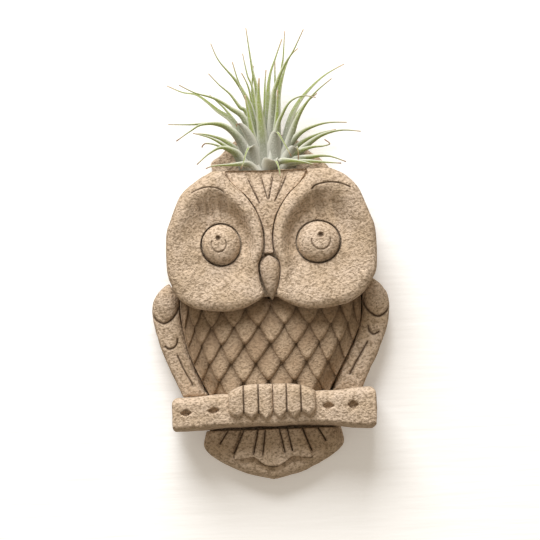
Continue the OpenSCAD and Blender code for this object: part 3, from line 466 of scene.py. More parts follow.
faceDisc("face_disc_right", 1,
         [(22.3, -19.2), (24.5, -17.2), (30.5, -16.1), (36, -16.9), (40.6, -18.9)], 0.85, 0.55)
faceDisc("face_disc_left", -1,
         [(22.0, -19.4), (25, -17.6), (30.5, -16.6), (35.5, -17.2), (39.8, -19.2)], 0.6, 0.8)

# Eyes: flat-topped domes with a pressed pupil and a curved tool line
eyeClay = {"around": 176, "out": 60, "pupil": (1.35, 3.5), "pupilRadius": 1.25, "pupilDeep": 1.7,
           "arcWide": 0.75, "arcDeep": 0.7}


def clayEye(nodeName, side, arcSpot, arcRadius, arcFrom, arcTo):
    turns = np.linspace(0, 2 * math.pi, eyeClay["around"], endpoint=False)
    top, base = eyeHigh[2], eyeLow[2]
    pupil = np.array(eyeClay["pupil"])
    arcTurns = np.radians(np.linspace(arcFrom, arcTo, 12))
    arc = arcSpot + arcRadius * np.column_stack([np.cos(arcTurns), np.sin(arcTurns)])
    rings, darks = [], []
    for share in np.sin(np.linspace(0.02, 1, eyeClay["out"]) * math.pi / 2):
        flat = np.column_stack([np.cos(turns), np.sin(turns)]) * eyeRadius * share
        height = base + (top - base) * max(1 - share ** 2.3, 0) ** 0.62
        away = np.linalg.norm(flat - pupil, axis=1) / eyeClay["pupilRadius"]
        depth, dark = toolMarks(flat, [(arc, eyeClay["arcWide"], eyeClay["arcDeep"])])
        press = np.exp(-away ** 4)
        heights = height - eyeClay["pupilDeep"] * press - depth
        rings.append(np.column_stack([flat + eyeSpot, heights]))
        # painted shade in the pressed pupil and along the tool line
        darks.append(np.maximum(dark * 0.7, press * 0.85))
    spots = np.vstack(rings)
    soft = smoothStep(0, 0.6, spots[:, 2] - base)
    spots[:, 2] += soft * (0.16 * lumps(spots, 4, 41) + 0.12 * lumps(spots, 2, 42) - 0.15)
    foot = np.column_stack([spots[-len(turns):, :2], np.full(len(turns), headFront + 0.8)])
    middle = spots[:len(turns)].mean(axis=0)[None]
    spots = handMade(np.vstack([spots, foot, middle]) * [side, 1, 1])
    faces = tubeFaces(eyeClay["out"] + 1, len(turns))
    centre = len(spots) - 1
    faces += [(centre, i, (i + 1) % len(turns)) for i in range(len(turns))]
    if side < 0:
        faces = [face[::-1] for face in faces]
    # painted shade round the rim and foot of the eye
    darks[-1][:] = 0.6
    paintedShade = np.concatenate(darks + [np.ones(len(turns)), [0]])
    addPiece(nodeName + "_clay", spots, faces, paleClay, [nodeName], "owl", {"paintedShade": paintedShade})


clayEye("eye_right", 1, (1.4, 0.7), 4.5, -192, 8)
clayEye("eye_left", -1, (1.1, 0.5), 4.0, -205, 22)

# Beak: half widths from its root to its point, in millimetres
beakClay = {"along": 80, "across": 41, "wide": [0.0, 4.0, 5.0, 4.85, 4.35, 3.65, 2.8, 1.75, 0.0],
            "drift": 0.9, "edge": 34.4, "ridge": 38.4, "endDrop": 2.4, "beakShade": 0.26}


def clayBeak():
    # a leaf with a rounded root and a drawn-out point, and a soft ridge along it
    low, high = boxMm("beak")
    shares = np.linspace(0, 1, beakClay["along"])
    last = len(beakClay["wide"]) - 1
    wide = evenly(curveThrough([(i / last, w) for i, w in enumerate(beakClay["wide"])], 8), 200)
    half = np.interp(shares, wide[:, 0], np.clip(wide[:, 1], 0, None)) + 0.02
    q = np.linspace(-1, 1, beakClay["across"])
    body = np.sin(np.pi * np.clip(shares, 0, 1)) ** 0.45
    rings = []
    for share, w, b in zip(shares, half, body):
        z = np.full(len(q), high[1] - 0.3 + (low[1] - high[1] + 0.6) * share)
        crown = (1 - np.abs(q) ** 2.6) ** 0.6
        ridgeRise = (beakClay["ridge"] - beakClay["edge"]) * b * crown
        height = beakClay["edge"] - beakClay["endDrop"] * (1 - b) + ridgeRise
        rings.append(np.column_stack([beakClay["drift"] * share + w * q, z, height]))
    spots = np.vstack(rings)
    spots[:, 2] += 0.2 * lumps(spots, 4, 81) + 0.12 * lumps(spots, 1.8, 82)
    columns = beakClay["across"]
    faces = [(j * columns + i, (j + 1) * columns + i, (j + 1) * columns + i + 1, j * columns + i + 1)
             for j in range(len(shares) - 1) for i in range(columns - 1)]
    left = [j * columns for j in range(len(shares))]
    rim = left + [first + columns - 1 for first in left[::-1]]
    back = spots[rim] * [1, 1, 0] + [0, 0, headFront - 0.3]
    total, count = len(spots), len(rim)
    faces += [(rim[(i + 1) % count], total + (i + 1) % count, total + i, rim[i]) for i in range(count)]
    faces.append(tuple(range(total, total + count)))
    # painted shade over the whole beak, darker on its back walls
    paintedShade = np.full(total + count, beakClay["beakShade"])
    paintedShade[total:] = 0.8
    spots = np.vstack([spots, back])
    addPiece("beak_clay", spots, faces, paleClay, ["beak"], "owl", {"paintedShade": paintedShade})


clayBeak()
print("face made")

# Breast: a barrel with five rows of pressed lozenge feathers
breastRound = {"voxel": 0.6, "rounds": 4, "lumps": 0.2}
featherClay = {"columns": 11, "pitch": 9.3, "firstTip": 7.8, "tipRise": 5.0, "rootRise": -0.2, "bow": 1.5,
               "cells": 28, "under": 0.12, "jitter": 0.5, "tuckedShade": 0.62, "tuckedShadeWide": 0.2, "freeEdgeShade": 0.25}
breastHalf = breastHigh[0]
barrelSide = 9.0                  # off the wall at the sides of the barrel
barrelRise = breastHigh[2] - barrelSide


def featherRow(row):
    shuffle = np.random.RandomState(50 + row)
    cells = featherClay["cells"]
    pitch = featherClay["pitch"]
    tip = discLow[1] - featherClay["firstTip"] - (row - 1) * pitch
    half = 90 / featherClay["columns"]
    reachAt = edgeAt(tip + pitch) - 0.5
    first = -featherClay["columns"] + (featherClay["columns"] + row) % 2
    across = 1 - (1 + featherClay["under"]) * (1 - np.linspace(0, 1, cells + 1)) ** 1.4
    p, q = np.meshgrid(across, across)
    p, q = p.ravel(), q.ravel()
    line = cells + 1
    grid = [(j * line + i, j * line + i + 1, (j + 1) * line + i + 1, (j + 1) * line + i)
            for j in range(cells) for i in range(cells)]
    u = p - q                     # -1 to 1 across a feather
    v = 1 - p - q                 # 1 at its root, -1 at its tip
    down = np.clip((1 - v) / 2, 0, 1)
    allSpots, allFaces, allPaintedShade = [], [], []
    for column in range(first, featherClay["columns"] + 1, 2):
        nearer = breastHalf * math.sin(math.radians((abs(column) - 1) * half))
        if nearer > reachAt - 1.5 or abs(column) >= featherClay["columns"]:
            continue
        bow = featherClay["bow"] * np.clip(p * 4 * q * (1 - q) + q * 4 * p * (1 - p), 0, None)
        shift = shuffle.uniform(-1, 1, 4) * featherClay["jitter"]
        turn = np.radians((column + u) * half)
        x = breastHalf * np.sin(turn) + shift[0] * (1 - v) / 2
        z = tip + pitch * (1 + v) - bow + shift[1] * (1 - v) / 2
        limit = edgeAt(z) - 0.2
        x = np.clip(x, -limit, limit)
        base = barrelSide + barrelRise * np.cos(np.arcsin(np.clip(np.abs(x) / breastHalf, 0, 1)))
        base = meetingWings(np.column_stack([x, z, base]))[:, 2]
        edge = np.sqrt((1 - np.clip(p, 0, 1) ** 9) * (1 - np.clip(q, 0, 1) ** 9))
        tipRise = featherClay["tipRise"] + 0.7 * shift[2]
        rise = featherClay["rootRise"] + (tipRise - featherClay["rootRise"]) * down ** 0.9
        height = base - 0.5 + (rise + 0.5) * edge + 0.35 * shift[3] * u
        allFaces += [tuple(a + len(allSpots) * len(p) for a in face[::-1]) for face in grid]
        allSpots.append(np.column_stack([x, z, height]))
        # painted shade: darkest where a feather comes out from under the row above, less dark on its free
        # edge
        tuckedShade = featherClay["tuckedShade"] * np.exp(-np.clip(np.minimum(p, q), 0, 1) / featherClay["tuckedShadeWide"])
        allPaintedShade.append(np.maximum(np.clip(1 - edge * 1.6, 0, 1) * featherClay["freeEdgeShade"], tuckedShade))
    spots = leaningBody(np.vstack(allSpots))
    paintedShade = np.concatenate(allPaintedShade)
    edgeSoft = 1 - paintedShade
    spots[:, 2] += edgeSoft * (0.18 * lumps(spots, 3.4, 61) + 0.12 * lumps(spots, 1.7, 62))
    name = "feather_row_%d" % row
    addPiece(name + "_clay", spots, allFaces, breastShadedClay, [name], "owl", {"paintedShade": paintedShade})


softClay("breast_panel", breastRound, breastShadedClay, reshape=leaningBreast)
for row in range(1, 6):
    featherRow(row)
print("breast made")

# Wings: slabs with rounded shoulders, a scroll, a hook and a long feather line
wingClay = {"voxel": 0.4, "rounds": 6, "lumps": 0.35, "grow": 0.2}
wingMarks = mirrored([
    ([(46.2, -76), (47.5, -79), (49.9, -82), (53.2, -84), (56, -83.3), (58.2, -81.4), (59.4, -79)], 1.2, 1.1),
]) + [
    ([(-46.9, -92.1), (-47.6, -95.2), (-50.8, -97), (-53.3, -95.7)], 1.1, 1.0),
    ([(48.9, -88.7), (49.3, -91.4), (51.5, -93), (54, -91.8)], 1.1, 1.0),
    ([(-47.0, -100.4), (-43.4, -107.9), (-39.4, -115.2)], 1.0, 0.9),
    ([(48.4, -96.6), (44.2, -104.5), (39.9, -112.6)], 1.0, 0.9),
]
for wing in ("wing_left", "wing_right"):
    softClay(wing, wingClay, paleClay, wingMarks, fullWings)

# Perch and toes
perchClay = {"voxel": 0.45, "rounds": 6, "lumps": 0.4}
toeClay = {"across": 90, "up": 70, "front": 33.6, "back": 28.4, "valley": -130.4,
           "grooveWide": 0.75, "grooveDeep": 1.3,
           "lowRound": (2.6, 3.0), "topRound": (4.2, 4.4), "sideRound": (2.2, 2.4)}   # reach and drop
softClay("perch", perchClay, paleClay, reshape=bentPerch)


def toeBlock(nodeName, grooves, tips, tops):
    # three toes pressed side by side, parted by thin lines, curled over the top of the perch
    xs = np.linspace(grooves[0], grooves[-1], toeClay["across"])
    lowLine = sorted([(x, toeClay["valley"]) for x in grooves] + list(tips))
    lowEdge = np.interp(xs, *zip(*lowLine))
    topEdge = evenly(curveThrough(tops, 6), toeClay["across"])
    topEdge = np.interp(xs, topEdge[:, 0], topEdge[:, 1])
    marks = [([(x, toeClay["valley"] - 2), (x + 0.1, toeClay["valley"] + 16)],
              toeClay["grooveWide"], toeClay["grooveDeep"]) for x in grooves[1:-1]]
    rings = []
    for share in np.linspace(0, 1, toeClay["up"]):
        z = lowEdge + (topEdge - lowEdge) * share
        side = np.minimum(xs - grooves[0], grooves[-1] - xs)
        height = toeClay["front"]
        for away, key in ((z - lowEdge, "lowRound"), (topEdge - z, "topRound"), (side, "sideRound")):
            reach, drop = toeClay[key]
            height = height - drop * (1 - np.sqrt(np.clip(1 - np.clip(1 - away / reach, 0, 1) ** 2, 0, 1)))
        rings.append(np.column_stack([xs, z, height]))
    spots = np.vstack(rings)
    phase = np.searchsorted(grooves[1:-1], spots[:, 0])
    middle = (np.array(grooves)[phase] + np.array(grooves)[phase + 1]) / 2
    spots[:, 2] -= 0.35 * ((spots[:, 0] - middle) / 3.6) ** 2
    # painted shade in the grooves between the toes
    depth, dark = toolMarks(spots[:, :2], marks)
    spots[:, 2] += 0.25 * lumps(spots, 4, 71) + 0.16 * lumps(spots, 1.8, 72) - depth
    rows, columns = toeClay["up"], toeClay["across"]
    rim = list(range(columns)) + [j * columns + columns - 1 for j in range(1, rows)] \
        + [rows * columns - 2 - i for i in range(columns - 1)] + [j * columns for j in range(rows - 2, 0, -1)]
    faces = [(j * columns + i, j * columns + i + 1, (j + 1) * columns + i + 1, (j + 1) * columns + i)
             for j in range(rows - 1) for i in range(columns - 1)]
    back = spots[rim] * [1, 1, 0] + [0, 0, toeClay["back"]]
    total, count = len(spots), len(rim)
    faces += [(rim[i], total + i, total + (i + 1) % count, rim[(i + 1) % count]) for i in range(count)]
    faces.append(tuple(range(total + count - 1, total - 1, -1)))
    addPiece(nodeName + "_clay", np.vstack([spots, back]), faces, paleClay, [nodeName], "owl",
             {"paintedShade": np.concatenate([dark, np.zeros(count)])})


toeBlock("foot_left", [-22.8, -15.2, -7.8, -0.55], [(-18.9, -132.3), (-11.5, -133.6), (-4.2, -134.2)],
         [(-22.8, -120.2), (-20, -118), (-14.7, -116.2), (-7, -115.8), (-0.55, -115.9)])
toeBlock("foot_right", [-0.45, 6.3, 13.5, 20.8], [(2.9, -134.1), (9.9, -133.6), (17.2, -132.4)],
         [(-0.45, -115.9), (7, -116), (13, -116.8), (17.6, -118.2), (20.8, -120)])

# Tail: a fan with an upper layer of three lobes, both cut with long lines
tailClay = {"voxel": 0.4, "rounds": 5, "lumps": 0.3}
tailMarks = [([(x + tailShift, z) for x, z in line], 0.8, 1.0) for line in (
    [(-22.6, -137.7), (-27.7, -145.5)], [(-15.1, -138), (-20.7, -150.6)],
    [(-8.3, -138.2), (-11.1, -151.3)], [(-4.7, -138.4), (-6.5, -151.9)],
    [(2.2, -138.6), (4.8, -150.7)], [(6.2, -138.8), (8.6, -150)],
    [(13.6, -138.2), (18, -150.3)], [(21.6, -138.9), (25.4, -145.4)])]
lobeLine = [(-19.3, -152.4), (-9.7, -152), (-5.8, -154.9), (-0.7, -157.4), (4.5, -155.7), (9.5, -151.8),
            (19.4, -153.4)]
softClay("tail_fan", tailClay, paleClay, tailMarks + [(lobeLine, 1.0, 0.9)], tailToLeft)
softClay("tail_coverts", tailClay, paleClay, tailMarks, tailToLeft)
print("wings, perch and tail made")

# Air plant leaves: living tillandsia leaf covered in silver scales, which are densest at the base.
# They give a soft grey bloom over green, pale edges, and thread tips that dry to brown.
leafLook = {
    "base": "#CECEC6", "middle": "#A3A793", "green": "#9FAE58", "tip": "#D9A98C", "dry": "#9A6650",
    "edge": "#FFFFF6", "glow": "#C6D45C", "scaleSize": 0.5, "scaleDeep": 0.15,
    "roughness": 0.7, "through": 0.34,          # through: share of light that passes the leaf
}


def scalyLeaf(name):
    material, tree = newMaterial(name)
    place = addNode(tree, "TexCoord").outputs["Object"]
    along = addNode(tree, "Attribute", attribute_name="along").outputs["Fac"]
    across = addNode(tree, "Attribute", attribute_name="across").outputs["Fac"]
    dried = addNode(tree, "Attribute", attribute_name="dried").outputs["Fac"]
    ramp = addNode(tree, "ValToRGB", {"Fac": along})
    stops = [(0.0, "base"), (0.34, "middle"), (0.6, "green"), (0.88, "green"), (1.0, "tip")]
    while len(ramp.color_ramp.elements) < len(stops):
        ramp.color_ramp.elements.new(0.5)
    for element, (spot, key) in zip(ramp.color_ramp.elements, stops):
        element.position = spot
        element.color = toLinear(leafLook[key])
    scales = addNode(tree, "TexNoise", {"Vector": place, "Scale": 1 / (leafLook["scaleSize"] * mm),
                                        "Detail": 2.0})
    scaleShare = addNode(tree, "MapRange", {"Value": scales.outputs["Fac"], "From Min": 0.45, "From Max": 0.7,
                                            "To Max": 0.45}).outputs["Result"]
    bloomed = addNode(tree, "Mix", {0: scaleShare, 6: ramp.outputs["Color"], 7: toLinear(leafLook["edge"])},
                      data_type="RGBA").outputs[2]
    edgeShare = addNode(tree, "MapRange", {"Value": across, "From Min": 0.4, "From Max": 1.0,
                                           "To Max": 0.85}).outputs["Result"]
    edged = addNode(tree, "Mix", {0: edgeShare, 6: bloomed, 7: toLinear(leafLook["edge"])},
                    data_type="RGBA").outputs[2]
    coloured = addNode(tree, "Mix", {0: dried, 6: edged, 7: toLinear(leafLook["dry"])},
                       data_type="RGBA").outputs[2]
    bump = addNode(tree, "Bump", {"Height": scales.outputs["Fac"], "Distance": leafLook["scaleDeep"] * mm,
                                  "Strength": 1.0}).outputs["Normal"]
    skin = addNode(tree, "BsdfPrincipled", {"Base Color": coloured, "Normal": bump,
                                            "Roughness": leafLook["roughness"], "Specular IOR Level": 0.3,
                                            "Sheen Weight": 0.25, "Sheen Roughness": 0.5}).outputs["BSDF"]
    young = addNode(tree, "MapRange", {"Value": along, "From Min": 0.25, "From Max": 0.7,
                                       "To Max": 0.8}).outputs["Result"]
    shine = addNode(tree, "Mix", {0: young, 6: coloured, 7: toLinear(leafLook["glow"])},
                    data_type="RGBA").outputs[2]
    glow = addNode(tree, "BsdfTranslucent", {"Color": shine, "Normal": bump}).outputs["BSDF"]
    surface = addNode(tree, "MixShader", {0: leafLook["through"], 1: skin, 2: glow}).outputs["Shader"]
    addNode(tree, "OutputMaterial", {"Surface": surface})
    return material


leafSkin = scalyLeaf("silver_scaled_living_leaf")

plantGrowth = {
    "middle": 16.0, "steps": 7, "section": 5, "thick": 0.24, "tip": 0.34, "hanging": 1.1, "taper": 1.9,
    "root": -22.0, "rootShare": 0.3, "rootMost": 6,             # the root of a leaf in the bulb
    "neck": -6.5, "neckShare": 0.62, "neckMost": 9, "lowNeck": -11,   # and its neck at the rim
    "narrow": 7, "wide": 12, "overRim": 8.5, "cup": 0.42, "foldCup": 0.62,
}
bulb = {"around": 40, "up": 14, "wide": 11.5, "tall": 20, "ribs": 5, "ribDeep": 0.05, "flat": 0.8}

# Leaves: width seen above the rim, how far the tip stands off the wall, turn about its own length, dried
# share, then where it is seen, as (across, up from the hanging hole)
plainLeaves = [
    (4.2, 13, 30, 0, [(-1.5, 10.3), (-3.5, 32.7), (-5.2, 42.3), (-7.6, 63.0)]),
    (3.4, 18, 40, 0, [(-4.8, 28.8), (-7.7, 39.2), (-9.7, 50.1)]),
    (3.4, 22, -25, 0, [(-4.7, 10.4), (-7, 24.1), (-11.8, 34.6), (-15, 46)]),
    (4.5, 20, 35, 0, [(-6, 18.4), (-8.9, 28.1), (-14.1, 37.1), (-21.8, 46.9), (-25.5, 55.6)]),
    (3.4, 13, 20, 0, [(-4.5, 15), (-7.1, 32), (-10.6, 40.5)]),
    (3.6, 14, 35, 0, [(6, 18), (9.6, 41.8), (10.6, 47.4), (11.8, 60.7)]),
    (4.2, 23, -30, 0, [(4.6, 24.4), (7.4, 35.5), (11.6, 44.1), (15.8, 50.4), (21.2, 61)]),
    (4, 18, 30, 0, [(6.9, 21.2), (8.9, 33.9), (13.3, 46.5), (18.1, 51.7)]),
    (4.4, 20, 20, 0, [(2.2, 26.1), (3.5, 38), (6.5, 46.7), (10.3, 56.6)]),
    (3.4, 12, 15, 0, [(0.5, 18), (0.9, 32.6), (1.8, 41.7)]),
    (5.2, 21, 35, 0, [(12.2, 13.8), (16.5, 23.2), (23.1, 31), (31.4, 37.9), (41.1, 43)]),
    (5.2, 26, -30, 0, [(14.5, 11.3), (19.6, 21.5), (26.3, 29.3), (34.5, 35.8)]),
    (4.4, 29, -40, 0, [(6.5, 11.6), (9.2, 18.7), (13.4, 24.9), (19.8, 27.5), (26.2, 26.5)]),
    (6.4, 25, -35, 0, [(13.4, 4.2), (20, 10.3), (30.5, 13.6), (41.3, 13.6)]),
    (6.4, 28, -40, 0, [(16.4, -2.3), (20.6, 2.4), (28.7, 7.6), (38.4, 9.7), (48.2, 8.8)]),
    (4, 30, -30, 0.12, [(14, -2), (22.1, 1.5), (29, 2.1), (32.4, 3.1), (29.8, 5.4)]),
    (4.6, 31, -35, 0.024, [(13.8, -5.0), (24.3, -3.0), (32.3, -3.2), (40.2, -6.2)]),
    (3.8, 33, -30, 0.03, [(12, -6.2), (21.8, -5.4), (33, -6.4), (37.8, -6.9)]),
    (4.2, 20, -35, 0, [(-14.1, 13.9), (-23.4, 22.2), (-32.7, 29.7), (-40.6, 31.6), (-48.1, 35.1)]),
    (4.8, 25, 30, 0, [(-9.3, 15.4), (-17, 22.8), (-24.8, 27.9), (-34.3, 31), (-42.1, 35.2)]),
    (3.8, 13, 35, 0, [(-8.4, 18.5), (-12.2, 23.4), (-16.8, 30), (-22.2, 35), (-27.2, 40.7)]),
    (6.6, 27, 35, 0, [(-11.3, 3.5), (-17.4, 11.7), (-25.3, 15.1), (-37.2, 15.1), (-48.2, 15.5)]),
    (5, 29, 30, 0.03, [(-12, 6), (-20.5, 14.2), (-30.9, 14.9), (-37.4, 11.6), (-44.3, 7)]),
    (5.6, 30, 35, 0, [(-14.7, -1.2), (-20.1, 3.8), (-27.1, 8), (-35.8, 10.7)]),
    (3.6, 30, 30, 0.12, [(-13, -2), (-23.3, 3.9), (-29.6, 5.3), (-31.7, 3.4)]),
    (6.6, 32, 35, 0.024, [(-11.6, -4.6), (-14.6, 0.4), (-21.7, 3), (-28.2, 0.1), (-34.4, -5.1)]),
    (3.2, 32, 30, 0.045, [(-8, -6.2), (-12, -5.6), (-18.1, -5.8), (-26, -6.0), (-30, -7.3)]),
    # fillers at the back of the rosette
    (5, 9.5, 15, 0, [(-5, 16), (-5.6, 30), (-4.6, 44)]),
    (5, 9.5, -15, 0, [(4.4, 16), (5.8, 30), (6.4, 46)]),
    (5, 10, 20, 0, [(-13, 12), (-19, 22), (-27, 30)]),
    (5, 10, -20, 0, [(13, 12), (19, 22), (27, 29)]),
    (4.5, 9, 15, 0, [(-18, 5), (-27, 9.5), (-36, 11)]),
    (4.5, 9, -15, 0, [(18, 4), (27, 8.5), (36, 10.5)]),
]
# Leaves shaped point by point: width at the root, turn, dried share, taper, share of the length where it
# folds over, then (across, up from the rim, out from the middle of the pocket)
shapedLeaves = [
    (12, -30, 0.045, 1.9, 0, [(2.4, -13, 3.5), (5.2, -2, 5.4), (7.6, 3.6, 8.6), (12.2, 4.3, 12.8),
                              (18.6, 3.4, 15.8), (25.3, 1.6, 17)]),
    (10, 0, 0, 1.05, 0, [(-0.5, -13, 2), (-0.8, 1, 5), (-1.2, 14.5, 7), (-2, 27.3, 9), (-2.5, 37, 10),
                         (-1.8, 46.4, 10.5)]),
    (9, 6, 0, 1.2, 0, [(-3, -13, 1.5), (-4.4, 5, 4.5), (-6.3, 18, 7), (-7.8, 29, 8), (-9.2, 38, 8.5)]),
    (9, -6, 0, 1.2, 0, [(3, -13, 1.5), (4.6, 5, 4), (5.9, 20, 6), (6.8, 31, 7), (7.2, 40, 7.5)]),
    (10.5, 0, 0.05, 1, 0.71, [(-2.5, -13, 2), (-4.4, -3, 4), (-6, 6, 6.5), (-6.8, 11, 9), (-7.6, 12.4, 11.4),
                              (-9.6, 9, 14), (-11.2, 4, 15), (-12.6, 0.8, 15.2)]),
    (11, 0, 0.05, 1, 0.705, [(2.5, -13, 2), (3.2, -3, 4), (4, 6, 6.2), (4.7, 13.5, 8.4), (5.4, 18.4, 10.6),
                             (6.8, 18.2, 12.6), (9.4, 13.6, 13.6), (13, 6.4, 14)]),
    (11.5, 0, 0.03, 1, 0.73, [(1, -13, 2.5), (1.6, -4, 4.5), (2.1, 1, 7), (2.6, 4.4, 10.6), (3.6, 5.2, 14.6),
                              (5.4, 3.9, 18.4), (6.6, 0.3, 20.3), (7.2, -4.4, 20.6)]),
    (9.5, -12, 0.24, 1, 0.82, [(5.5, -12, 2), (8, -4, 4), (10.4, 3.4, 7), (12.9, 8.8, 10), (15, 11.2, 12.4),
                               (16.4, 9.4, 13.8), (16.3, 4.6, 14.3)]),
    (7.5, 10, 0.08, 1, 0.97, [(-3, -13, 2), (-4.6, 1, 5), (-6.2, 12, 8), (-8.6, 18.5, 10.5),
                              (-11.6, 22.8, 12.5), (-13.6, 23.6, 13.6), (-14, 22.2, 14)]),
]


def plainLeaf(seenWide, tipOff, turn, dried, seen):
    # a root in the bulb and a neck at the rim lead up to the part that is seen
    firstX, firstZ = seen[0]
    root = (np.clip(firstX * plantGrowth["rootShare"], -plantGrowth["rootMost"], plantGrowth["rootMost"]),
            plantGrowth["root"])
    neck = ((root[0] + firstX) / 2, plantGrowth["lowNeck"])
    if firstZ > zRim + 8:
        neck = (np.clip(firstX * plantGrowth["neckShare"], -plantGrowth["neckMost"], plantGrowth["neckMost"]),
                min(plantGrowth["neck"], firstZ - 1))
    path = np.array([root, neck] + seen)
    steps = np.r_[0, np.cumsum(np.hypot(*np.diff(path, axis=0).T))]
    s = steps / steps[-1]
    middle = plantGrowth["middle"]
    rootOff = middle + np.clip((tipOff - middle) * 0.35, -3.5, 4.5)
    off = rootOff + (tipOff - rootOff) * smoothStep(0, 1, s) ** 0.9
    off = np.where(path[:, 1] < zRim + 0.4, np.minimum(off, middle + plantGrowth["overRim"]), off)
    # the root is as wide as the seen width needs
    width = np.clip(round(2 * seenWide / (1 - s[2]) ** plantGrowth["taper"]) / 2,
                    plantGrowth["narrow"], plantGrowth["wide"])
    points = [(round(x, 1), round(z - zRim, 1), round(away - middle, 1))
              for x, z, away in np.column_stack([path, off]).tolist()]
    return width, turn, dried, plantGrowth["taper"], 0, points


def growLeaf(width, turn, dried, taper, fold, points):
    points = np.array(points, float) + [0, zRim, plantGrowth["middle"]]
    centre = curveThrough(points, plantGrowth["steps"])
    steps = np.r_[0, np.cumsum(np.linalg.norm(np.diff(centre, axis=0), axis=1))]
    s = steps / steps[-1]
    tangent = np.gradient(centre, axis=0)
    tangent /= np.linalg.norm(tangent, axis=1)[:, None]
    if taper < plantGrowth["taper"]:
        # front leaves keep their faces to the front
        plane = np.tile([1.0, 0, 0], (len(s), 1))
    else:
        plane = np.column_stack([tangent[:, 1], -tangent[:, 0], np.zeros(len(s))])
        plane /= np.linalg.norm(plane, axis=1)[:, None]
    lean = math.radians(turn)
    side = plane * math.cos(lean) + np.array([0, 0, 1]) * math.sin(lean)
    side -= tangent * np.sum(side * tangent, axis=1)[:, None]
    side /= np.linalg.norm(side, axis=1)[:, None]
    out = np.cross(side, tangent)
    half = width / 2 * (1 - s) ** taper + plantGrowth["tip"]
    if fold:
        # narrows to a rounded end at the bend, from which a thin dry end hangs
        share = np.clip(s / fold, 0, 1)
        half = np.maximum(width / 2 * (1 - 0.5 * share ** 1.5) * np.sqrt(1 - share ** 8),
                          plantGrowth["hanging"] * (1.2 - s))
    n = plantGrowth["section"]
    across = np.linspace(-1, 1, 2 * n + 1)
    cup = plantGrowth["foldCup" if fold else "cup"] * (across ** 2 - 0.5)
    thick = plantGrowth["thick"] * np.sqrt(np.clip(1 - across ** 2, 0, 1)) + 0.03
    ringAcross = np.concatenate([across, across[::-1]])
    ringCup = np.concatenate([-cup + thick, (-cup - thick)[::-1]])
    rings = [centre[i] + half[i] * (ringAcross[:, None] * side[i] + ringCup[:, None] * out[i])
             for i in range(len(s))]
    spots = np.vstack(rings)
    count = len(ringAcross)
    faces = tubeFaces(len(s), count)
    faces.append(tuple(range(count)))
    faces.append(tuple(range(len(spots) - 1, len(spots) - 1 - count, -1)))
    visible = np.clip((s - 0.15) / 0.85, 0, 1)
    if fold:
        visible = np.where(s < fold, 0.24 * s / fold, 0.6 + 0.4 * (s - fold) / (1 - fold))
    brown = smoothStep(1 - dried - 0.02, 1, s) * (dried > 0)
    acrossAll = np.tile(np.abs(ringAcross), len(s))
    return spots, faces, np.repeat(visible, count), acrossAll, np.repeat(brown, count)


def growPlant():
    spots, faces, along, across, dry = [], [], [], [], []
    total = 0
    for leaf in [plainLeaf(*leaf) for leaf in plainLeaves] + shapedLeaves:
        leafSpots, leafFaces, s, u, brown = growLeaf(*leaf)
        faces += [tuple(a + total for a in face) for face in leafFaces]
        total += len(leafSpots)
        spots.append(leafSpots)
        along.append(s)
        across.append(u)
        dry.append(brown)
    # the base of the rosette, wrapped in leaf bases, sits in the pocket
    count = bulb["around"]
    turns = np.linspace(0, 2 * math.pi, count, endpoint=False)
    base = []
    for t in np.linspace(0, 1, bulb["up"]):
        wide = bulb["wide"] * math.sin(math.pi * (0.08 + 0.78 * t)) ** 0.7
        ribs = 1 + bulb["ribDeep"] * np.cos(bulb["ribs"] * turns + 3 * t)
        base.append(np.column_stack([wide * ribs * np.cos(turns),
                                     np.full(count, plantLow[1] + 0.4 + bulb["tall"] * t),
                                     plantGrowth["middle"] + bulb["flat"] * wide * ribs * np.sin(turns)]))
    base = np.vstack(base)
    faces += [tuple(a + total for a in face[::-1]) for face in tubeFaces(bulb["up"], count)]
    faces.append(tuple(total + i for i in range(count)))
    faces.append(tuple(total + len(base) - 1 - i for i in range(count)))
    spots.append(base)
    along.append(np.zeros(len(base)))
    across.append(np.full(len(base), 0.2))
    dry.append(np.full(len(base), 0.15))
    spots = np.vstack(spots)
    outside = np.abs(spots[:, 0]) > 24
    spots[:, 1] = np.where(outside, np.maximum(spots[:, 1], zRim + 0.4), spots[:, 1])
    spots[:, 2] = np.clip(spots[:, 2], plantLow[2] + 0.1, plantHigh[2])
    spots[:, 0] = np.clip(spots[:, 0], plantLow[0], plantHigh[0])
    spots[:, 1] = np.clip(spots[:, 1], plantLow[1], plantHigh[1])
    addPiece("air_plant_leaves", spots, faces, leafSkin, ["air_plant"], "plant",
             {"along": np.concatenate(along), "across": np.concatenate(across), "dried": np.concatenate(dry)})


growPlant()
print("plant made")

# Wall: white painted plaster, which shows faint slanting brush strokes. It is clear from behind.
wallLook = {"colour": "#FFFFFF", "strokeWide": 5, "strokeLong": 60, "strokeDeep": 0.35, "strokeTurn": -28,
            "lift": 0.15, "liftHue": "#FFFCF8", "half": 3.0, "gap": 0.0006}


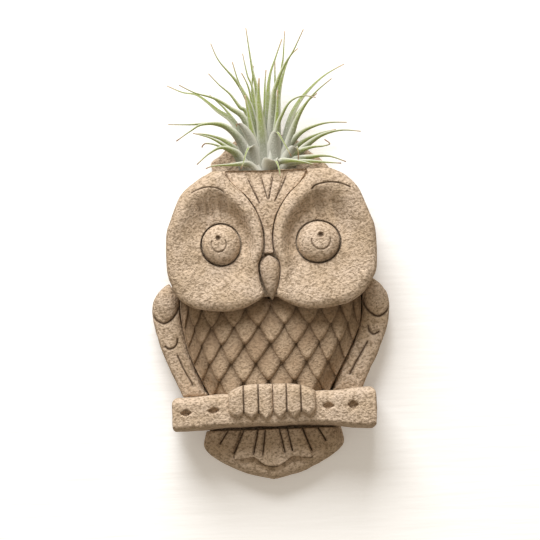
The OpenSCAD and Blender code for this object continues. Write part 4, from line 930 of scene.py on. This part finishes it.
def paintedWall():
    material, tree = newMaterial("white_painted_plaster")
    place = addNode(tree, "TexCoord").outputs["Object"]
    strokeTurn = (0, math.radians(wallLook["strokeTurn"]), 0)
    turned = addNode(tree, "Mapping", {"Vector": place, "Rotation": strokeTurn,
                                       "Scale": (1 / (wallLook["strokeLong"] * mm), 1,
                                                 1 / (wallLook["strokeWide"] * mm))}).outputs["Vector"]
    strokes = addNode(tree, "TexNoise", {"Vector": turned, "Scale": 1.0, "Detail": 4.0}).outputs["Fac"]
    bump = addNode(tree, "Bump", {"Height": strokes, "Distance": wallLook["strokeDeep"] * mm,
                                  "Strength": 1.0}).outputs["Normal"]
    paint = addNode(tree, "BsdfDiffuse", {"Color": toLinear(wallLook["colour"]),
                                          "Normal": bump}).outputs["BSDF"]
    glow = addNode(tree, "Emission", {"Color": toLinear(wallLook["liftHue"]),
                                      "Strength": wallLook["lift"]}).outputs["Emission"]
    both = addNode(tree, "AddShader", {0: paint, 1: glow}).outputs["Shader"]
    clear = addNode(tree, "BsdfTransparent").outputs["BSDF"]
    seen = addNode(tree, "LightPath").outputs["Is Camera Ray"]
    behind = addNode(tree, "NewGeometry").outputs["Backfacing"]
    shown = addNode(tree, "MixShader", {0: seen, 1: paint, 2: both}).outputs["Shader"]
    surface = addNode(tree, "MixShader", {0: behind, 1: shown, 2: clear}).outputs["Shader"]
    addNode(tree, "OutputMaterial", {"Surface": surface})
    half = wallLook["half"]
    corners = [(-half, -half), (half, -half), (half, half), (-half, half)]
    mesh = bpy.data.meshes.new("wall")
    mesh.from_pydata([(x, wallLook["gap"], z) for x, z in corners], [], [(0, 1, 2, 3)])
    mesh.materials.append(material)
    wall = bpy.data.objects.new("wall", mesh)
    bpy.context.scene.collection.objects.link(wall)
    wall.visible_shadow = False
    wall.visible_diffuse = False
    wall.visible_glossy = False
    wall.visible_transmission = False


paintedWall()

# Daylight from above and a little to the left, with soft light from all round
light = {"keyPlace": (-0.3, -0.93, 1.38), "keySize": 1.35, "keyPower": 45, "fill": 0.4, "warm": "#FFFFFF",
         "shade": "#FFF0DA"}
keyData = bpy.data.lights.new("key", "AREA")
keyData.shape = "DISK"
keyData.size = light["keySize"]
keyData.energy = light["keyPower"]
keyData.color = toLinear(light["warm"])[:3]
key = bpy.data.objects.new("key", keyData)
bpy.context.scene.collection.objects.link(key)
key.location = light["keyPlace"]
aim = Matrix.Translation((0, 0, -0.07)).translation - key.location
key.rotation_euler = aim.to_track_quat("-Z", "Y").to_euler()

world = bpy.data.worlds.new("room")
bpy.context.scene.world = world
world.use_nodes = True
worldTree = world.node_tree
worldTree.nodes.clear()
seen = addNode(worldTree, "LightPath").outputs["Is Camera Ray"]
strength = addNode(worldTree, "MapRange", {"Value": seen, "To Min": light["fill"],
                                           "To Max": 1.0}).outputs["Result"]
hue = addNode(worldTree, "Mix", {0: seen, 6: toLinear(light["shade"]), 7: (1, 1, 1, 1)},
              data_type="RGBA").outputs[2]
back = addNode(worldTree, "Background", {"Color": hue, "Strength": strength}).outputs["Background"]
addNode(worldTree, "OutputWorld", {"Surface": back})

# Camera: straight on from far away, turned 2 degrees, as the photograph was taken
cameraSet = {"far": 4.0, "across": 0.27, "spot": (0.0003, -0.0590), "turn": 2.0, "plane": 0.032}
cameraData = bpy.data.cameras.new("camera")
cameraData.sensor_width = 36
cameraData.lens = 36 * cameraSet["far"] / cameraSet["across"]
camera = bpy.data.objects.new("camera", cameraData)
bpy.context.scene.collection.objects.link(camera)
c, s = math.cos(math.radians(cameraSet["turn"])), math.sin(math.radians(cameraSet["turn"]))
camera.matrix_world = Matrix(((c, s, 0, cameraSet["spot"][0]),
                              (0, 0, -1, -cameraSet["plane"] - cameraSet["far"]),
                              (-s, c, 0, cameraSet["spot"][1]),
                              (0, 0, 0, 1)))
cameraData.clip_end = 20
bpy.context.scene.camera = camera
bpy.context.scene.view_settings.view_transform = "Standard"
print("light and camera set")
